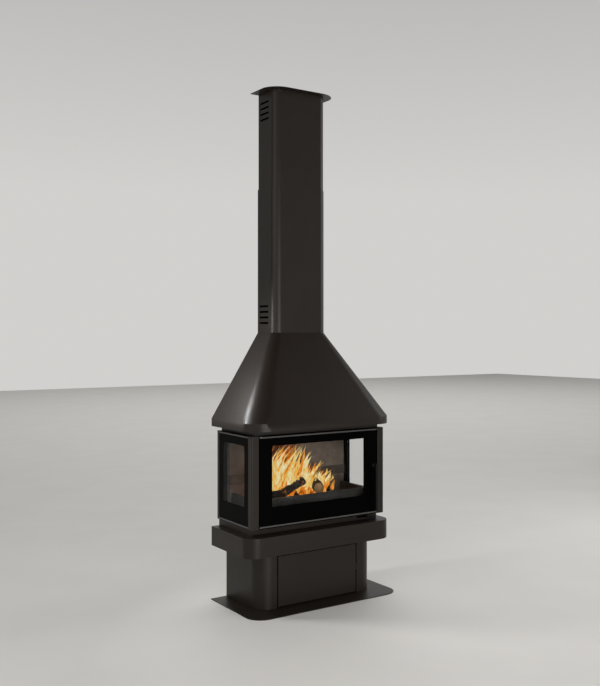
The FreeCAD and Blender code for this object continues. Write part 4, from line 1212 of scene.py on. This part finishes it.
@dataclass
class Fire:
    """Burning logs, coals and flames behind the fence, which show the fireplace in use."""

    workshop: Workshop
    floor: float = 0.5065
    seed: int = 11
    logs: tuple[Log, ...] = (
        Log("back_log", (-0.22, 0.115, 0.044), (0.2, 0.125, 0.05), 0.04),
        Log("left_log", (-0.29, 0.05, 0.045), (-0.14, -0.012, 0.06), 0.03),
        Log("charred_log", (-0.142, -0.008, 0.07), (-0.018, 0.012, 0.12), 0.024),
        Log("right_log", (0.057, -0.036, 0.077), (0.115, 0.12, 0.09), 0.031),
    )
    bed_middle: Point = (-0.02, 0.06, 0.011)
    bed_reach: Pair = (0.26, 0.085)
    bed_sides: int = 40
    coal_density: float = 7000.0
    coal_radius: float = 0.01
    coal_sizes: Pair = (0.5, 1.25)
    tongue: Tongue = Tongue()
    left: float = -0.3
    right: float = 0.2
    shoulder: float = 0.0
    tip_margin: float = 0.06
    flame_top: float = 0.31
    right_drop: float = 0.72
    height_shares: Pair = (0.35, 1.0)
    lean_shares: Pair = (0.1, 0.95)
    layers: tuple[FlameLayer, ...] = (
        FlameLayer(FlameLight("flame_deep", (1.0, 0.36, 0.035), (0.78, 0.15, 0.008), (0.2, 0.022, 0.002)),
                   count=70, reach=1.0, width=(0.01, 0.024), depth=(0.06, 0.14)),
        FlameLayer(FlameLight("flame_orange", (1.0, 0.62, 0.14), (1.0, 0.34, 0.03), (0.62, 0.1, 0.006)),
                   count=74, reach=0.96, width=(0.007, 0.019), depth=(0.02, 0.09)),
        FlameLayer(FlameLight("flame_pale", (1.0, 0.88, 0.46), (1.0, 0.64, 0.14), (1.0, 0.34, 0.025)),
                   count=60, reach=0.84, width=(0.005, 0.014), depth=(0.0, 0.05), lift=(0.04, 0.11)),
        FlameLayer(FlameLight("flame_heart", (1.0, 0.95, 0.66), (1.0, 0.82, 0.36), (1.0, 0.48, 0.07)),
                   count=18, reach=0.66, width=(0.011, 0.022), depth=(0.004, 0.034), lift=(0.07, 0.13)),
    )

    def build(self) -> None:
        """Lays the logs and coals and lights the flames."""
        self.lay_logs()
        self.spread_coals()
        for index, layer in enumerate(self.layers):
            self.light_flames(layer, random.Random(self.seed + index))

    def add_piece(self, mesh: bpy.types.Mesh, material: bpy.types.Material) -> None:
        """Seats one piece of the fire, which is named as its mesh."""
        mesh.materials.append(material)
        self.workshop.seat(new_object(mesh.name, mesh), Body.FIREPLACE)

    def lay_logs(self) -> None:
        """Lays split logs across each other, with their sawn ends."""
        materials = CharredWood().material(), SawnWood().material()
        for index, log in enumerate(self.logs):
            for mesh, material in zip(log.meshes(self.floor, index), materials):
                self.add_piece(mesh, material)

    def coal_tree(self) -> GeometryTree:
        """Returns the tree that scatters turned lumps of many sizes over a face."""
        tree = GeometryTree("coal_bed", {
            "Density": "Float", "Coal Radius": "Float", "Least Size": "Float", "Most Size": "Float",
            "Seed": "Int"})
        seed = tree.given["Seed"]
        spots = tree.add("GeometryNodeDistributePointsOnFaces", {
            "Mesh": tree.given["Geometry"], "Density": tree.given["Density"], "Seed": seed})
        lump = tree.add("GeometryNodeMeshIcoSphere", {"Radius": tree.given["Coal Radius"], "Subdivisions": 1})
        size = tree.add("FunctionNodeRandomValue", {
            2: tree.given["Least Size"], 3: tree.given["Most Size"], "Seed": seed}, data_type="FLOAT")
        turn = tree.add("FunctionNodeRandomValue", {1: (math.tau, math.tau, math.tau), "Seed": seed},
                        data_type="FLOAT_VECTOR")
        way = tree.add("FunctionNodeEulerToRotation", {0: turn.outputs[0]})
        spread = tree.add("GeometryNodeInstanceOnPoints", {
            "Points": spots.outputs["Points"], "Instance": lump.outputs["Mesh"],
            "Rotation": way.outputs[0], "Scale": size.outputs[1]})
        tree.end(spread.outputs[0])
        return tree

    def spread_coals(self) -> None:
        """Spreads coals over the bed under the logs."""
        x, y, rise = self.bed_middle
        across, deep = self.bed_reach
        ring = [(x + across * math.cos(angle), y + deep * math.sin(angle), self.floor + rise)
                for angle in round_angles(self.bed_sides)]
        bed = bpy.data.meshes.new("coal_bed")
        bed.from_pydata(ring, [], [tuple(range(self.bed_sides))])
        least, most = self.coal_sizes
        piece = self.coal_tree().apply("coals", bed, {
            "Density": self.coal_density, "Coal Radius": self.coal_radius, "Least Size": least,
            "Most Size": most, "Seed": self.seed, "Material": GlowingCoal().material()})
        self.workshop.seat(piece, Body.FIREPLACE)

    def light_flames(self, layer: FlameLayer, dice: random.Random) -> None:
        """Raises one layer of tongues, which lean to the right and end lower there.

        Args:
            layer: Colour, number and sizes of the tongues.
            dice: Source of their places and heights.
        """
        points: list[Vector] = []
        faces: list[Face] = []
        for _ in range(layer.count):
            tip = dice.uniform(self.left + self.tip_margin, self.right)
            slope = max(tip - self.shoulder, 0.0) / (self.right - self.shoulder)
            tallest = layer.reach * self.flame_top * (1.0 - self.right_drop * slope)
            height = tallest * dice.uniform(*self.height_shares)
            lean = height * dice.uniform(*self.lean_shares)
            foot = Vector((max(tip - lean, self.left), dice.uniform(*layer.depth),
                           self.floor + dice.uniform(*layer.lift)))
            height = min(height, self.floor + self.flame_top - foot.z)
            self.tongue.add(points, faces, foot, height, lean, dice.uniform(*layer.width), dice)
        self.add_piece(smooth_mesh(layer.light.name, points, faces), layer.light.material())


@dataclass(frozen=True)
class Lamp:
    """One soft rectangular light that looks at a point and doesn't show itself."""

    name: str
    place: Point
    target: Point
    size: Pair
    power: float
    spread: float = 180.0

    def hang(self) -> None:
        """Adds the light to the scene."""
        data = bpy.data.lights.new(self.name, "AREA")
        data.shape = "RECTANGLE"
        data.size, data.size_y = self.size
        data.energy = self.power
        data.spread = math.radians(self.spread)
        lamp = bpy.data.objects.new(self.name, data)
        lamp.location = self.place
        lamp.rotation_euler = (Vector(self.target) - Vector(self.place)).to_track_quat("-Z", "Y").to_euler()
        lamp.visible_camera = False
        bpy.context.scene.collection.objects.link(lamp)


@dataclass(frozen=True)
class Studio:
    """Pale floor, soft light and the camera."""

    floor_size: float = 40.0
    floor_drop: float = 0.0004
    floor_light: Colour = (0.72, 0.7, 0.67)
    floor_dark: Colour = (0.69, 0.67, 0.64)
    floor_roughness: float = 0.6
    floor_scale: float = 2.0
    sky: Colour = (0.82, 0.81, 0.79)
    sky_power: float = 0.78
    sky_axis: Point = (0.9, 0.43, 0.0)
    sky_turn: Pair = (-0.2, 0.6)
    sky_rise: Pair = (0.15, 0.8)
    sky_front: float = 0.42
    sky_top: float = 0.3
    lamps: tuple[Lamp, ...] = (
        Lamp("left_accent", (-0.95, 0.46, 1.54), (-0.4, -0.12, 0.98), (0.24, 0.24), 3.8, spread=100.0),
        Lamp("left_front", (-3.86, -1.04, 2.4), (0.0, 0.0, 2.2), (4.6, 3.2), 70.0),
        Lamp("front_fill", (-0.8, -6.5, 0.9), (0.0, 0.0, 0.9), (4.5, 1.6), 220.0),
        Lamp("rear_floor", (7.0, 10.0, 14.0), (6.5, 9.5, 0.0), (14.0, 14.0), 1500.0),
        Lamp("right_soft", (3.6, -1.0, 2.4), (0.0, 0.0, 1.2), (2.0, 2.4), 40.0),
    )
    camera_place: Point = (-2.5327, -4.2343, 1.416)
    camera_turn: float = -36.78
    camera_sight: float = 100.0
    sensor_width: float = 36.0
    focal_length: float = 47.46
    shift: Pair = (-0.1458, -0.0121)

    def build(self) -> None:
        """Lays the floor, hangs the lights and places the camera."""
        self.lay_floor()
        self.raise_sky()
        bpy.context.scene.view_settings.view_transform = "Standard"
        for lamp in self.lamps:
            lamp.hang()
        self.place_camera()

    def lay_floor(self) -> None:
        """Adds the floor."""
        half = self.floor_size / 2
        mesh = bpy.data.meshes.new("studio_floor")
        mesh.from_pydata([(x, y, -self.floor_drop) for x, y in corners((-half, -half), (half, half))], [],
                         [(0, 1, 2, 3)])
        shader = Shader("studio_floor")
        clouds = shader.noise(self.floor_scale, detail=4.0)
        shader.put("Base Color", shader.blended(clouds, self.floor_dark, self.floor_light))
        shader.put("Roughness", self.floor_roughness)
        mesh.materials.append(shader.material)
        floor = new_object("studio_floor", mesh)

    def raise_sky(self) -> None:
        """Adds a sky that is pale behind the fireplace, and dimmer above it and in front of it."""
        world = bpy.data.worlds.new("soft_sky")
        world.use_nodes = True
        sky = Nodes(world.node_tree)
        way = sky.add("ShaderNodeTexCoord").outputs["Generated"]
        shares = []
        for axis, span, levels in ((self.sky_axis, self.sky_turn, (self.sky_front, 1.0)),
                                   (UPWARDS, self.sky_rise, (1.0, self.sky_top))):
            reach = sky.add("ShaderNodeVectorMath", {0: way, 1: axis}, operation="DOT_PRODUCT")
            shares.append(sky.ranged(reach.outputs["Value"], span, levels))
        power = sky.calculate("MULTIPLY", sky.calculate("MULTIPLY", *shares), self.sky_power)
        ground = world.node_tree.nodes["Background"]
        sky.give(ground.inputs["Color"], self.sky)
        sky.give(ground.inputs["Strength"], power)
        bpy.context.scene.world = world

    def place_camera(self) -> None:
        """Adds the camera at the fitted viewpoint."""
        data = bpy.data.cameras.new("viewpoint")
        data.sensor_fit = "AUTO"
        data.sensor_width = self.sensor_width
        data.lens = self.focal_length
        data.shift_x, data.shift_y = self.shift
        data.clip_end = self.camera_sight
        camera = bpy.data.objects.new("viewpoint", data)
        camera.location = self.camera_place
        camera.rotation_euler = Euler((math.pi / 2, 0.0, math.radians(self.camera_turn)))
        bpy.context.scene.collection.objects.link(camera)
        bpy.context.scene.camera = camera


def main() -> None:
    """Builds the sub-assemblies in order, then the studio."""
    logging.basicConfig(level=logging.INFO, format="%(name)s: %(message)s")
    workshop = Workshop(Palette())
    workshop.paint_solids()
    screws = Screws(workshop)
    for assembly in (Pedestal(workshop, screws), ShelfBand(workshop), Firebox(workshop, screws),
                     FireDoor(workshop), PrintedBorders(workshop), RopeSeal(workshop),
                     HoodAndCasing(workshop, screws), Fire(workshop)):
        assembly.build()
    Studio().build()


if __name__ == "__main__":
    main()
